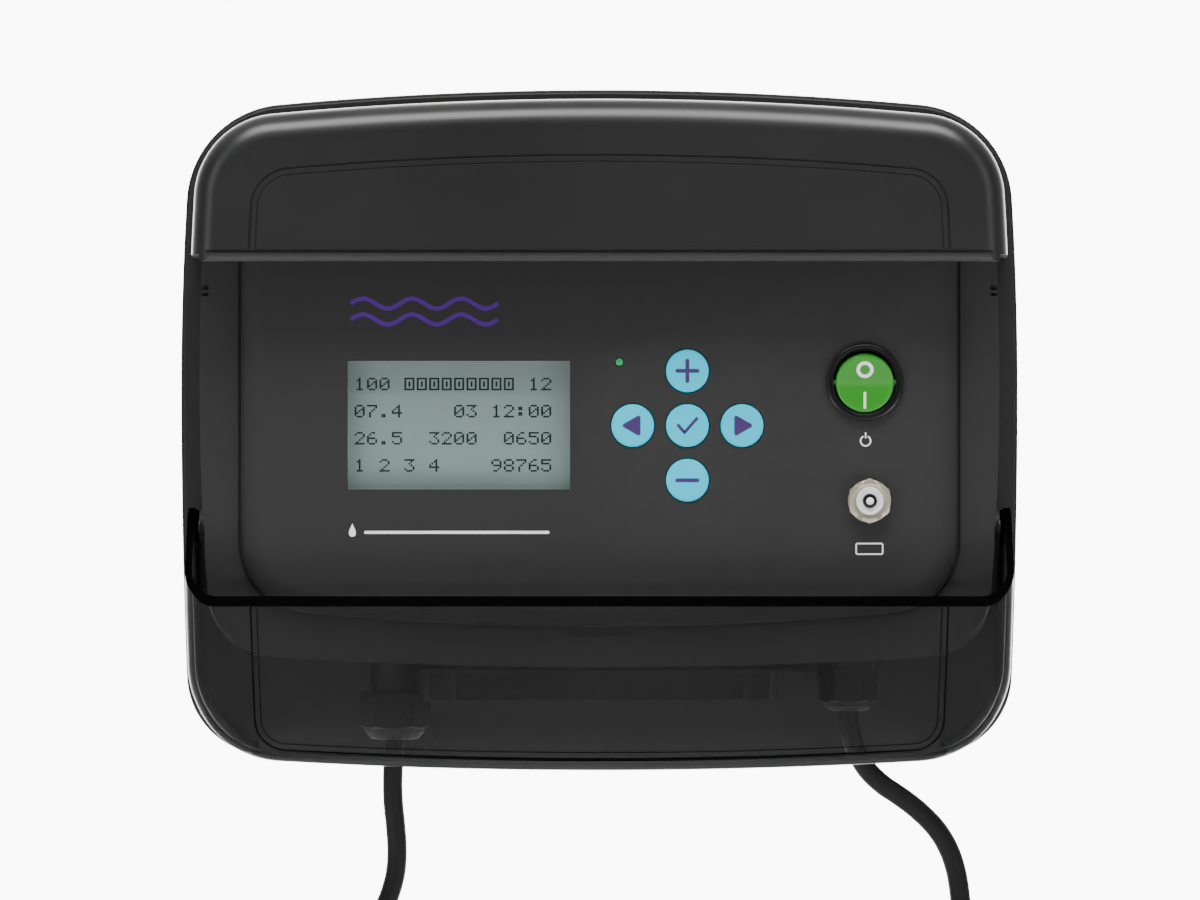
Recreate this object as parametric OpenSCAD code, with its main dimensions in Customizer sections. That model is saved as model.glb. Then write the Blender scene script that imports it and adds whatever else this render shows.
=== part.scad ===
// Wall-hung salt chlorine generator: control box, swing-up wiring cover, keys, switch, breaker and two leads.
// X to the right, Y into the wall, Z up. The origin is the middle of the wall bracket's four holes, on the wall.
// Depths are measured from the wall towards the front, so a point at depth d lies at Y = -d.

/* [Enclosure] */
// Width over the rim of the back shell
body_w = 290; // [288:1:293]
// Top of the rim above the bracket's centre
top_z = 118; // [117:1:120]
// Bottom of the back shell below the bracket's centre
shell_drop = 116; // [115:1:116]
// Bottom of the smoked cover below the bracket's centre
cover_drop = 115; // [114:1:116]
// Depth from the wall to the front of the cap and the cover
front_d = 118; // [117:0.5:119]
// Wall thickness of the mouldings
wall = 3; // [2.5:0.1:3]
// Wall thickness of the cap and the cover
cover_wall = 2.4; // [2:0.1:2.5]

/* [Cover hinge] */
// Depth of the hinge pins
hinge_d = 70; // [69:0.5:71]
// Height of the hinge pins
hinge_z = -33; // [-34:0.5:-32]
// Radius of the hinge pins
pin_r = 2.5; // [2:0.1:3]
// Radius of the knuckle around each pin
knuckle_r = 6.3; // [6:0.1:6.5]

/* [Controls] */
// Distance from the middle key to the four around it
key_pitch = 18.6; // [18.4:0.1:19]
// Radius of a key
key_r = 7.3; // [7:0.1:7.4]
// Radius of the rocker button
rocker_r = 10; // [9.5:0.1:10]
// How far the rocker leans from the middle to on or off, in degrees
rocker_lean = 8; // [6:1:9]
// Width of the display window
lcd_w = 75.7; // [74:0.1:76]
// Height of the display window
lcd_h = 43.7; // [42:0.1:44]

/* [Leads] */
// Radius of the cell lead
cell_r = 3.4; // [3.3:0.05:3.5]
// Radius of the mains lead
mains_r = 3.5; // [3.4:0.05:3.5]
// Radius of the middle of a coil's turns
coil_r = 37.5; // [36:0.5:38]

/* [Hidden] */
$fn = 48;

// Outline of the box: two bowed sides, a bowed top and a bowed underside, joined by round corners
belt_z = 15;
side_bow = 1100;
lower_bow = 2500;
top_bow = 1220;
under_bow = 1900;
top_corner = 35;
low_corner = 28;

// Depths of the stack, from the wall forwards
plate_t = 2;
band_d = 5;
shell_back_d = 8;
shell_front_d = 49;
gasket_t = 1.2;
flange_d = shell_front_d + gasket_t;
cap_back_d = flange_d + wall;
cover_back_d = cap_back_d + 1;
box_front_d = 92;
facia_front_d = 98;

// How far each outline lies inside the rim
shell_in = 2.5;
box_in = 8.4;
cap_back_in = 3.4;
cap_front_in = 5.9;
cover_front_in = 3.8;
edge_r = 10;

cap_low_z = 57;
floor_z = -82;
screw_r = 1.95;
small_screw_r = 1.45;
shell_screw_spots = [for (side = [-1, 1]) each [[side * 124.5, 89], [side * 130, 5], [side * 116, -72]]];
bracket_holes = [[-50, -20], [50, -20], [-50, 20], [50, 20]];
hanger_spots = [[-45, 50], [45, 50]];
facia_screw_spots = [[-112, 55], [112, 55], [-112, -45], [112, -45]];

// Facia
facia_w = 244;
facia_top = 72;
facia_low = 67;
facia_bow = 1060;
facia_low_r = 24;
facia_top_r = 10;

// Controls on the facia, as [x, z]
lcd_at = [-47.85, 1.65];
key_mid = [29.9, 1.5];
key_spots = [[0, 1], [0, -1], [-1, 0], [1, 0], [0, 0]];
led_at = [6.8, 23.1];
switch_at = [90.2, 16.2];
breaker_at = [91.8, -24.1];
key_gap = 0.3;
key_front_d = facia_front_d + 0.6;
rocker_d = 97;
bezel_r = 13.1;
well_r = 10.6;
barrel_r = 11.8;
bushing_r = 4.75;
reset_r = 2.3;

// Boards and what is on them
display_back_d = 82;
board_t = 1.6;
main_back_d = 20;
main_front_d = main_back_d + board_t;
post_spots = [[-97, -34], [58, -34], [-97, 34], [58, 34]];
standoff_spots = [[8, -60], [114, -60], [8, 78], [114, 78]];
core_at = [-66, 10];

// Glands, as [x, depth]
cell_at = [-70.2, 72];
mains_at = [85.5, 72];

// Points of the Bezier cubic from a to d with handles b and c, without a itself
function bend(a, b, c, d, n) = [for (i = [1:n]) let (t = i / n, s = 1 - t)
    s * s * s * a + 3 * s * s * t * b + 3 * s * t * t * c + t * t * t * d];

// Routes of the two leads, from inside the gland nut to the coil, and of the ends that hang from the coils
cell_route = concat(
    [[-70.2, -72, -96], [-70.3, -72, -104], [-70.7, -72, -112], [-71, -72, -120], [-70.8, -72, -128],
        [-70, -72, -136], [-69.5, -72, -144]],
    bend([-69.5, -72, -144], [-68.8, -72, -164], [-83, -78.8, -178.2], [-95.9, -78.8, -193.5], 8)
);
mains_route = [
    [85.5, -72, -88], [85.5, -72, -96], [86, -72, -102], [87.8, -72, -109], [91.5, -72, -116],
    [97, -72, -121.5], [103.6, -72, -126], [110, -72, -131], [115.8, -72, -137], [120, -72, -144],
    [122.6, -72.2, -152], [123.9, -73, -161], [124.3, -74.4, -170], [124.3, -76.2, -180],
    [124.3, -77.8, -190], [124.3, -78.8, -200], [124.3, -78.8, -210]
];
cell_coil_at = [-62, -222];
mains_coil_at = [80, -222];
coil_d = 72;
coil_half = 10.5;
tail_r = coil_r + 6.8;
tail_d = 65.2;
cell_tail_x = cell_coil_at[0] - tail_r;
mains_tail_x = mains_coil_at[0] + tail_r;
tail_drop = 60;
cell_tail = [for (i = [0:5]) [cell_tail_x, -tail_d, cell_coil_at[1] - i * tail_drop / 5]];
mains_tail = [for (i = [0:5]) [mains_tail_x, -tail_d, mains_coil_at[1] - i * tail_drop / 5]];
end_z = cell_coil_at[1] - tail_drop;

// ---- outlines -------------------------------------------------------------------------------------------

function polar(c, r, a) = c + r * [cos(a), sin(a)];
function heading(a, b) = atan2(b[1] - a[1], b[0] - a[0]);
function arc(c, r, from, to, n) = [for (i = [0:n - 1]) polar(c, r, from + (to - from) * i / n)];
function mirrored(half) = concat(half, [for (i = [len(half) - 2:-1:1]) [-half[i][0], half[i][1]]]);

// Centre of a corner that runs smoothly into two larger arcs around a and b, on the given side of the line ab
function corner_centre(a, ra, b, rb, side) =
    let (
        far = norm(b - a),
        u = (b - a) / far,
        along = (far * far + ra * ra - rb * rb) / (2 * far)
    ) a + u * along + side * [-u[1], u[0]] * sqrt(ra * ra - along * along);

// The box's outline, moved inwards by inset, with its underside at -drop before that
function box_outline(drop, low_r, inset) =
    let (
        side = [body_w / 2 - side_bow, belt_z],
        lower = [body_w / 2 - lower_bow, belt_z],
        over = [0, top_z - top_bow],
        under = [0, under_bow - drop],
        low = corner_centre(lower, lower_bow - low_r, under, under_bow - low_r, -1),
        high = corner_centre(side, side_bow - top_corner, over, top_bow - top_corner, 1)
    ) mirrored(concat(
        arc(under, under_bow - inset, -90, heading(under, low), 4),
        arc(low, low_r - inset, heading(under, low), heading(lower, low), 8),
        arc(lower, lower_bow - inset, heading(lower, low), 0, 3),
        arc(side, side_bow - inset, 0, heading(side, high), 3),
        arc(high, top_corner - inset, heading(side, high), heading(over, high), 8),
        arc(over, top_bow - inset, heading(over, high), 90, 4),
        [[0, top_z - inset]]
    ));

function facia_outline(inset) =
    let (
        under = [0, facia_bow - facia_low],
        x = facia_w / 2 - facia_low_r,
        low = [x, under[1] - sqrt(pow(facia_bow - facia_low_r, 2) - x * x)],
        high = [facia_w / 2 - facia_top_r, facia_top - facia_top_r]
    ) mirrored(concat(
        arc(under, facia_bow - inset, -90, heading(under, low), 4),
        arc(low, facia_low_r - inset, heading(under, low), 0, 8),
        arc(high, facia_top_r - inset, 0, 90, 5),
        [[high[0], facia_top - inset], [0, facia_top - inset]]
    ));

function shell_line(inset) = box_outline(shell_drop, low_corner, inset);
function front_line(inset) = box_outline(cover_drop + cover_front_in, low_corner + 5 + cover_front_in, inset);
function inner_line(inset) = box_outline(box_in - floor_z, 30, box_in + inset);

// ---- solids from outlines and routes --------------------------------------------------------------------

// A closed skin through rings of equally many points, each ring anticlockwise as seen from the far end
module loft(rings) {
    m = len(rings[0]);
    n = len(rings);
    polyhedron(
        points = [for (ring = rings) each ring],
        faces = concat(
            [[for (j = [0:m - 1]) j]],
            [for (i = [0:n - 2]) for (j = [0:m - 1])
                [i * m + j, (i + 1) * m + j, (i + 1) * m + (j + 1) % m, i * m + (j + 1) % m]],
            [[for (j = [m - 1:-1:0]) (n - 1) * m + j]]
        )
    );
}

function at_depth(line, d) = [for (p = line) [p[0], -d, p[1]]];

function unit(v) = v / norm(v);

// Rings of a tube along a route, each square to the route; the route never runs along up
function tube_rings(route, r, sides, up) = [
    for (i = [0:len(route) - 1])
        let (
            t = unit(route[min(i + 1, len(route) - 1)] - route[max(i - 1, 0)]),
            a = unit(cross(t, up)),
            b = cross(t, a)
        ) [for (k = [0:sides - 1]) route[i] + r * (a * cos(360 * k / sides) + b * sin(360 * k / sides))]
];

module tube(route, r, sides = 10, up = [0, 1, 0]) loft(tube_rings(route, r, sides, up));

module slab(line, near, far) {
    translate([0, -near, 0]) rotate([90, 0, 0]) linear_extrude(far - near) polygon(line);
}

module block(x, d, z) {
    translate([x[0], -d[1], z[0]]) cube([x[1] - x[0], d[1] - d[0], z[1] - z[0]]);
}

// Round bars along the depth, upright and sideways
module rod(at, r, near, far) {
    translate([at[0], -near, at[1]]) rotate([90, 0, 0]) cylinder(r = r, h = far - near);
}

module post(at, r, low, high) {
    translate([at[0], -at[1], low]) cylinder(r = r, h = high - low);
}

module bar(at, r, left, right) {
    translate([left, -at[0], at[1]]) rotate([0, 90, 0]) cylinder(r = r, h = right - left);
}

module hex_post(at, across, low, high) {
    translate([at[0], -at[1], low]) cylinder(r = across / sqrt(3), h = high - low, $fn = 6);
}

module screw(at, r, head_r, head_near, head_far, tip_d) {
    rod(at, head_r, head_near, head_far);
    rod(at, r, min(head_near, tip_d), max(head_far, tip_d));
}

// ---- casing ---------------------------------------------------------------------------------------------

module wall_bracket() color("silver") difference() {
    union() {
        block([-60, 60], [0, plate_t], [-35, 35]);
        block([-60, 60], [0, band_d + plate_t], [35, 37]);
        block([-60, 60], [band_d, band_d + plate_t], [37, 62]);
    }
    for (p = bracket_holes) rod(p, 2.75, -1, plate_t + 1);
    for (p = hanger_spots) {
        rod(p, 2.7, band_d - 1, band_d + plate_t + 1);
        block([p[0] - 2.7, p[0] + 2.7], [band_d - 1, band_d + plate_t + 1], [p[1], 63]);
    }
}

module hanger_studs() color("gainsboro") for (p = hanger_spots) {
    screw(p, 2.5, 4.5, 2.4, 4.6, 12.6);
}

module rear_shell() color([0.2, 0.2, 0.21]) difference() {
    union() {
        loft([
            at_depth(shell_line(9), shell_back_d),
            at_depth(shell_line(4.5), shell_back_d + 2.5),
            at_depth(shell_line(shell_in), shell_back_d + 8),
            at_depth(shell_line(shell_in), 41),
            at_depth(shell_line(0), 43),
            at_depth(shell_line(0), shell_front_d)
        ]);
        for (p = hanger_spots) rod(p, 6, band_d + plate_t, 12);
    }
    difference() {
        slab(shell_line(shell_in + wall), shell_back_d + wall, shell_front_d + 1);
        for (p = shell_screw_spots) rod(p, 5, 9, shell_front_d);
        for (p = standoff_spots) rod(p, 4, 10, main_back_d);
        for (p = hanger_spots) rod(p, 6, 10, 12.8);
        rod(core_at, 8, 10, 13);
    }
    for (p = shell_screw_spots) {
        rod(p, 4.2, 0, 14);
        rod(p, screw_r + 0.25, 13, shell_front_d + 1);
    }
    for (p = standoff_spots) rod(p, small_screw_r, 13, main_back_d + 1);
    for (p = hanger_spots) rod(p, 2.5, 0, 12.6);
    rod(core_at, 4, 9.6, 14);
}

module shell_screws() color("silver") for (p = shell_screw_spots) {
    screw(p, screw_r, 3.8, 10.8, 14, 60);
}

module shell_gasket() color("dimgray") difference() {
    slab(shell_line(1.5), shell_front_d, flange_d);
    slab(shell_line(4.4), shell_front_d - 1, flange_d + 1);
}

module inner_body() color([0.16, 0.16, 0.17]) difference() {
    union() {
        difference() {
            union() {
                slab(shell_line(1), flange_d, cap_back_d);
                slab(inner_line(0), flange_d, box_front_d);
            }
            slab(inner_line(wall), flange_d - 1, box_front_d - wall);
            block([-101, 64], [80, 93], [-38, 40]);
        }
        for (p = shell_screw_spots) rod(p, 4.5, flange_d, 62);
        for (side = [-1, 1]) {
            bar([hinge_d, hinge_z], 5.5, min(side * 127, side * 137.3), max(side * 127, side * 137.3));
        }
        post(cell_at, 7.8, -90.1, -79.5);
        post(mains_at, 9, -82, -79);
        block([-89.3, -78.7], [66, 78], [-87.7, -79.5]);
    }
    for (p = shell_screw_spots) rod(p, screw_r, flange_d - 1, 60);
    for (p = facia_screw_spots) rod(p, small_screw_r + 0.2, 80, box_front_d + 1);
    bar([hinge_d, hinge_z], pin_r, -140, 140);
    rod(switch_at, barrel_r + 0.2, 80, box_front_d + 1);
    rod(breaker_at, bushing_r + 0.15, 80, box_front_d + 1);
    post(cell_at, 5.9, -91, -70);
    post(mains_at, 5.9, -91, -70);
    block([-9.7, 9.7], [90, 93], [-70.4, -67.3]);
    for (side = [-1, 1]) for (z = [[45.8, 46.8], [47.8, 49.3]]) {
        block([min(side * 134, side * 136), max(side * 134, side * 136)], [90.5, 93], z);
    }
}

// Skin of the cap or the cover: sides that end front_in inside the rim and a round front edge, t inside it
module front_form(front_in, t) {
    loft(concat(
        [at_depth(front_line(cap_back_in + t), cap_back_d - (t > 0 ? 1 : 0))],
        [for (a = [0:22.5:90])
            at_depth(
                front_line(front_in + t + (edge_r - t) * (1 - cos(a))),
                front_d - edge_r + (edge_r - t) * sin(a)
            )]
    ));
}

module top_cap() color([0.13, 0.13, 0.14]) difference() {
    front_form(cap_front_in, 0);
    front_form(cap_front_in, cover_wall);
    block([-200, 200], [0, 200], [-200, cap_low_z]);
}

module facia_plate() color([0.2, 0.2, 0.2]) difference() {
    union() {
        loft([for (s = [[0, 0], [0, 1], [1.2, 3.6], [3.6, 5.4], [7, 6]])
            at_depth(facia_outline(s[0]), box_front_d + s[1])]);
        for (p = post_spots) rod(p, 3.2, display_back_d + board_t, box_front_d + 1);
    }
    translate([lcd_at[0], 0, lcd_at[1]]) {
        block([-lcd_w / 2, lcd_w / 2], [80, 100], [-lcd_h / 2, lcd_h / 2]);
        block([-41, 41], [box_front_d - 1, 94.6], [-25, 25]);
    }
    for (s = key_spots) {
        rod(key_mid + key_pitch * s, key_r + key_gap, 90, 100);
        rod(key_mid + key_pitch * s, 8.9, 90, 94.6);
    }
    for (p = post_spots) rod(p, small_screw_r, 83, 90);
    for (p = facia_screw_spots) rod(p, small_screw_r, 91, 95);
    rod(led_at, 1.5, 90, 100);
    rod(switch_at, barrel_r + 0.2, 90, 100);
    rod(breaker_at, bushing_r + 0.15, 90, 100);
}

module facia_screws() color("silver") for (p = facia_screw_spots) {
    screw(p, small_screw_r, 2.8, 86.8, box_front_d - wall, 95);
}

// ---- display and keys -----------------------------------------------------------------------------------

module lcd_lens() color([0.75, 0.8, 0.78, 0.5]) translate([lcd_at[0], 0, lcd_at[1]]) {
    block([-40.8, 40.8], [92.8, 94.6], [-24.8, 24.8]);
}

module lcd_frame() color("silver") translate([lcd_at[0], 0, lcd_at[1]]) difference() {
    block([-42, 42], [display_back_d + board_t, 91.6], [-27, 27]);
    block([-40, 40], [80, 90.8], [-25, 25]);
    block([-lcd_w / 2, lcd_w / 2], [80, 92], [-lcd_h / 2, lcd_h / 2]);
}

module lcd_glass() color([0.52, 0.6, 0.57]) translate([lcd_at[0], 0, lcd_at[1]]) {
    block([-39.8, 39.8], [88, 90.8], [-24.8, 24.8]);
}

module lcd_backlight() color("white") translate([lcd_at[0], 0, lcd_at[1]]) {
    block([-39.8, 39.8], [display_back_d + board_t, 88], [-24.8, 24.8]);
}

module display_board() color("darkgreen") difference() {
    block([-104, 66], [display_back_d, display_back_d + board_t], [-40, 40]);
    for (p = post_spots) rod(p, small_screw_r + 0.15, 80, 90);
}

module board_screws() color("silver") {
    for (p = post_spots) screw(p, small_screw_r, 2.8, display_back_d - 2.2, display_back_d, 89);
    for (p = standoff_spots) screw(p, small_screw_r, 2.8, main_front_d, main_front_d + 2.2, 14);
}

module tact_switches() color("dimgray") for (s = key_spots) {
    p = key_mid + key_pitch * s;
    block([p[0] - 3, p[0] + 3], [display_back_d + board_t, 87.1], [p[1] - 3, p[1] + 3]);
    rod(p, 1.75, 87, 87.6);
}

module status_led() color("lime") rod(led_at, 1.4, display_back_d + board_t, 87.8);

module light_pipe() color("palegreen") {
    rod(led_at, 1.5, 88, facia_front_d + 0.4);
    rod(led_at, 2.6, 90.6, box_front_d);
}

module clock_battery() color("silver") rod([-60, -10], 10, display_back_d - 3.2, display_back_d);

module key(s) color("skyblue") {
    p = key_mid + key_pitch * s;
    rod(p, 2.5, 88.3, 93.2);
    rod(p, 8.5, 93, 94.4);
    rod(p, key_r, 94.2, key_front_d);
}

module key_plus() key(key_spots[0]);
module key_minus() key(key_spots[1]);
module key_left() key(key_spots[2]);
module key_right() key(key_spots[3]);
module key_ok() key(key_spots[4]);

// ---- switch and breaker ---------------------------------------------------------------------------------

module switch_body() color([0.08, 0.08, 0.08]) difference() {
    union() {
        rod(switch_at, bezel_r, facia_front_d, facia_front_d + 2);
        rod(switch_at, barrel_r, 76, facia_front_d + 1);
        for (x = [-5, 5]) for (z = [-5, 5]) {
            block([switch_at[0] + x - 0.4, switch_at[0] + x + 0.4], [69, 77],
                [switch_at[1] + z - 2.4, switch_at[1] + z + 2.4]);
        }
    }
    rod(switch_at, well_r, 84, 101);
    bar([rocker_d, switch_at[1]], 1.05, switch_at[0] - 11.5, switch_at[0] + 11.5);
}

module switch_rocker() color([0.2, 0.55, 0.17]) translate([switch_at[0], -rocker_d, switch_at[1]])
rotate([rocker_lean, 0, 0]) {
    difference() {
        intersection() {
            rod([0, 0], rocker_r, -6, 5);
            sphere(r = rocker_r + 0.3);
        }
        for (side = [-1, 1]) {
            translate([0, -2.6, 0]) rotate([side * rocker_lean, 0, 0])
                translate([-15, -20, side > 0 ? 0 : -20]) cube([30, 20, 20]);
        }
    }
    bar([0, 0], 1, -11.3, 11.3);
}

module breaker_body() color([0.1, 0.1, 0.1]) difference() {
    union() {
        block([breaker_at[0] - 8, breaker_at[0] + 8], [60, box_front_d - wall],
            [breaker_at[1] - 15, breaker_at[1] + 15]);
        rod(breaker_at, bushing_r, 88, 103.2);
        for (z = [-9, 9]) {
            block([breaker_at[0] - 3, breaker_at[0] + 3], [52, 61],
                [breaker_at[1] + z - 0.4, breaker_at[1] + z + 0.4]);
        }
    }
    rod(breaker_at, reset_r + 0.07, 87, 104);
    rod(breaker_at, 4.2, 79, 88);
}

module breaker_washer() color("silver") difference() {
    rod(breaker_at, 7.3, facia_front_d, facia_front_d + 0.8);
    rod(breaker_at, bushing_r + 0.02, facia_front_d - 1, facia_front_d + 2);
}

module breaker_nut() color("silver") difference() {
    translate([breaker_at[0], -facia_front_d - 0.8, breaker_at[1]]) rotate([90, 30, 0])
        cylinder(r = 7.9, h = 3, $fn = 6);
    rod(breaker_at, bushing_r + 0.02, facia_front_d, facia_front_d + 5);
}

module reset_button() color("white") {
    rod(breaker_at, reset_r, 80.5, 104.2);
    rod(breaker_at, 4, 80.5, 82);
}

// ---- electronics ----------------------------------------------------------------------------------------

module main_board() color("darkgreen") difference() {
    block([2, 120], [main_back_d, main_front_d], [-66, 84]);
    for (p = standoff_spots) rod(p, small_screw_r + 0.15, 10, 30);
}

module heat_sink() color("lightgray") {
    block([14, 62], [main_front_d, 26], [32, 74]);
    for (i = [0:7]) {
        block([14 + 6.57 * i, 16 + 6.57 * i], [25, 50], [32, 74]);
    }
}

module rectifier() color([0.1, 0.1, 0.1]) block([72, 100], [main_front_d, 33], [42, 70]);

module capacitors() color([0.15, 0.2, 0.35]) for (x = [74, 104]) rod([x, 6], 11, main_front_d, 56);

module relays() color([0.15, 0.25, 0.5]) for (x = [20, 48]) {
    block([x - 9.5, x + 9.5], [main_front_d, 37], [-8, 8]);
}

module fuse_holder() color("khaki") {
    block([78, 106], [main_front_d, 26], [-36, -28]);
    for (x = [79, 101]) block([x, x + 4], [25, 33], [-35, -29]);
    bar([31, -32], 2.6, 80, 104);
}

module terminal_block() color("seagreen") difference() {
    block([28, 100], [main_front_d, 38], [-62, -48]);
    for (i = [0:6]) rod([34 + 10 * i, -55], 3, 33, 39);
}

module transformer() color([0.75, 0.65, 0.3]) translate([core_at[0], -15, core_at[1]]) rotate([90, 0, 0])
rotate_extrude() {
    translate([17, 6]) square([39, 32]);
    translate([23, 0]) square([27, 44]);
    for (x = [23, 50]) for (y = [6, 38]) translate([x, y]) circle(r = 6);
}

module transformer_pads() color([0.1, 0.1, 0.1]) for (near = [13, 59]) difference() {
    rod(core_at, 50, near, near + 2);
    rod(core_at, near < 20 ? 8.1 : 5, near - 1, near + 3);
}

module transformer_clamp() color("silver") difference() {
    union() {
        rod(core_at, 38, 61, 62.6);
        rod(core_at, 14, 61, 64);
    }
    rod(core_at, 4.1, 60, 65);
}

module transformer_bolt() color("silver") {
    translate([core_at[0], -64, core_at[1]]) rotate([90, 0, 0]) cylinder(r = 7.5, h = 5.3, $fn = 6);
    rod(core_at, 4, 9.6, 65);
}

module ribbon_cable() color("gray") {
    block([30, 50], [main_front_d, display_back_d], [-21, -20]);
    block([29, 51], [main_front_d, 28], [-24, -17]);
    block([29, 51], [77, display_back_d], [-24, -17]);
}

// Wires from the glands, the switch, the breaker and the transformer to the terminals
wire_routes = [
    [[-70.2, -72, -71], [-69, -71, -67], [-62, -68, -65], [-40, -65, -65], [-10, -61, -64], [16, -54, -61],
        [30, -48, -57], [35, -43, -55], [36, -38.5, -55]],
    [[85.5, -72, -69], [84.5, -70.5, -65], [80, -66, -61], [73, -57, -57.5], [68, -48, -55.5], [66, -38.5, -55]],
    [[85.2, -68.5, 11.2], [84.2, -65, 9.5], [80, -62, 1], [73, -60, -13], [66, -58, -28], [59, -53, -43],
        [56, -45, -52], [56, -38.5, -55]],
    [[91.8, -51.5, -33.1], [91.6, -48.5, -36], [90, -45.5, -44], [87, -42.5, -51], [86, -38.5, -55]],
    [[-37, -60, -34], [-31, -60.8, -39], [-12, -60, -46], [18, -56, -49], [38, -49, -52], [45, -43, -54],
        [46, -38.5, -55]]
];

module inner_wires() color("saddlebrown") for (i = [0:4]) {
    tube(wire_routes[i], i < 2 ? 2.4 : 1.2, 8, i % 4 == 0 ? [0, 0, 1] : [1, 0, 0]);
}

// ---- wiring compartment ---------------------------------------------------------------------------------

module vent_grille() color([0.3, 0.3, 0.31]) {
    block([-57.8, 60], [60, 86], [-92, -82]);
    block([-60.7, 60.7], [58, 88], [-83.6, -82]);
    block([-57.6, 74], [58, 88], [-95.2, -92]);
    block([60.5, 74], [58, 88], [-95, -82]);
    for (x = [-59, -50, 0, 50, 59]) {
        block([x - 1.2, x + 1.2], [84, 88], [-93, -83]);
    }
}

module hinge_pins() color("gray") for (side = [-1, 1]) {
    bar([hinge_d, hinge_z], pin_r, min(side * 127, side * 141.3), max(side * 127, side * 141.3));
}

// Side view of the part of the front form that the cover keeps, as [depth, z]
cover_side = concat(
    [[cover_back_d, hinge_z]],
    [for (a = [180:-15:60]) polar([hinge_d, hinge_z], knuckle_r, a)],
    [[80, -29], [90, -35.5], [100, -42.5], [106.5, -47.5], [111, -51], [114.4, -54.4], [117, -57.8],
        [118, -59.8], [120, -60], [120, -130], [cover_back_d, -130]]
);

module smoked_cover() color([0.1, 0.1, 0.12, 0.8]) difference() {
    union() {
        intersection() {
            difference() {
                front_form(cover_front_in, 0);
                front_form(cover_front_in, cover_wall);
            }
            rotate([90, 0, -90]) translate([0, 0, -200]) linear_extrude(400) polygon(cover_side);
        }
        for (side = [-1, 1]) {
            bar([hinge_d, hinge_z], knuckle_r - 0.6, min(side * 137.7, side * 141.2), max(side * 137.7, side * 141.2));
        }
    }
    bar([hinge_d, hinge_z], pin_r + 0.05, -150, 150);
    block([-118, 118], [40, 101], [-130, -90]);
}

module cell_gland() color([0.1, 0.1, 0.1]) difference() {
    union() {
        hex_post(cell_at, 21, -94.5, -90.1);
        post(cell_at, 5.9, -94, -71.5);
    }
    post(cell_at, cell_r, -100, -70);
}

module cell_gland_nut() color([0.1, 0.1, 0.1]) difference() {
    union() {
        hex_post(cell_at, 21, -101.8, -94.5);
        post(cell_at, 10.2, -104, -95);
        translate([cell_at[0], -cell_at[1], -106]) cylinder(r1 = 7.6, r2 = 10.2, h = 2.1);
    }
    post(cell_at, cell_r, -110, -90);
    post(cell_at, 6, -100.5, -90);
}

module mains_gland() color([0.1, 0.1, 0.1]) difference() {
    union() {
        hex_post(mains_at, 17.7, -85.5, -82);
        post(mains_at, 5.9, -84, -69.5);
    }
    post(mains_at, mains_r, -90, -60);
}

module mains_gland_nut() color([0.1, 0.1, 0.1]) difference() {
    union() {
        hex_post(mains_at, 17.7, -92, -85.5);
        post(mains_at, 8.5, -94, -86);
        translate([mains_at[0], -mains_at[1], -96.2]) cylinder(r1 = 6.2, r2 = 8.5, h = 2.3);
    }
    post(mains_at, mains_r, -100, -80);
    post(mains_at, 6, -91, -80);
}

module gland_seals() color([0.25, 0.25, 0.25]) {
    difference() {
        post(cell_at, 5.9, -100.4, -94.6);
        post(cell_at, cell_r, -110, -90);
    }
    difference() {
        post(mains_at, 5.9, -90.9, -85.6);
        post(mains_at, mains_r, -110, -80);
    }
}

module gland_locknuts() color([0.1, 0.1, 0.1]) for (g = [[cell_at, -76.6], [mains_at, -76]]) difference() {
    hex_post(g[0], 17, g[1], g[1] + 4);
    post(g[0], 5.9, g[1] - 1, g[1] + 5);
}

// ---- leads ----------------------------------------------------------------------------------------------

module coil(at) translate([at[0], -coil_d, at[1]]) rotate([90, 0, 0]) rotate_extrude() {
    soft = 4;
    half = coil_half - soft;
    translate([coil_r - coil_half, -half]) square([2 * coil_half, 2 * half]);
    translate([coil_r - half, -coil_half]) square([2 * half, 2 * coil_half]);
    for (x = [-half, half]) for (y = [-half, half]) translate([coil_r + x, y]) circle(r = soft);
}

module mains_lead() color([0.07, 0.07, 0.07]) {
    tube(mains_route, mains_r);
    tube(mains_tail, mains_r);
}

module cell_lead() color([0.07, 0.07, 0.07]) {
    tube(cell_route, cell_r);
    tube(cell_tail, cell_r);
}

module mains_coil() color([0.07, 0.07, 0.07]) coil(mains_coil_at);
module cell_coil() color([0.07, 0.07, 0.07]) coil(cell_coil_at);

module cable_ties() color([0.1, 0.1, 0.1]) for (at = [cell_coil_at, mains_coil_at]) {
    translate([at[0], -coil_d, at[1] + coil_r]) difference() {
        cube([5, 2 * coil_half + 3, 2 * coil_half + 3], center = true);
        cube([6, 2 * coil_half + 0.6, 2 * coil_half + 0.6], center = true);
    }
}

// Moulded plug: a round flat body, its pins square to the lead
plug_z = end_z - 32;

module mains_plug() color([0.07, 0.07, 0.07]) difference() {
    union() {
        rod([mains_tail_x, plug_z], 19, tail_d - 9, tail_d + 9);
        translate([mains_tail_x, -tail_d, plug_z + 14]) cylinder(r1 = 7.5, r2 = 4.6, h = 24);
    }
    post([mains_tail_x, tail_d], mains_r, end_z, end_z + 20);
}

module plug_pins() color("silver") translate([mains_tail_x, -tail_d + 9, plug_z]) {
    for (side = [-1, 1]) {
        translate([side * 6.9, 0, 3.9]) rotate([0, side * 30, 0]) translate([-0.8, 0, -3.15])
            cube([1.6, 17, 6.3]);
    }
    translate([-0.8, 0, -10.3 - 3.15]) cube([1.6, 20, 6.3]);
}

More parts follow.
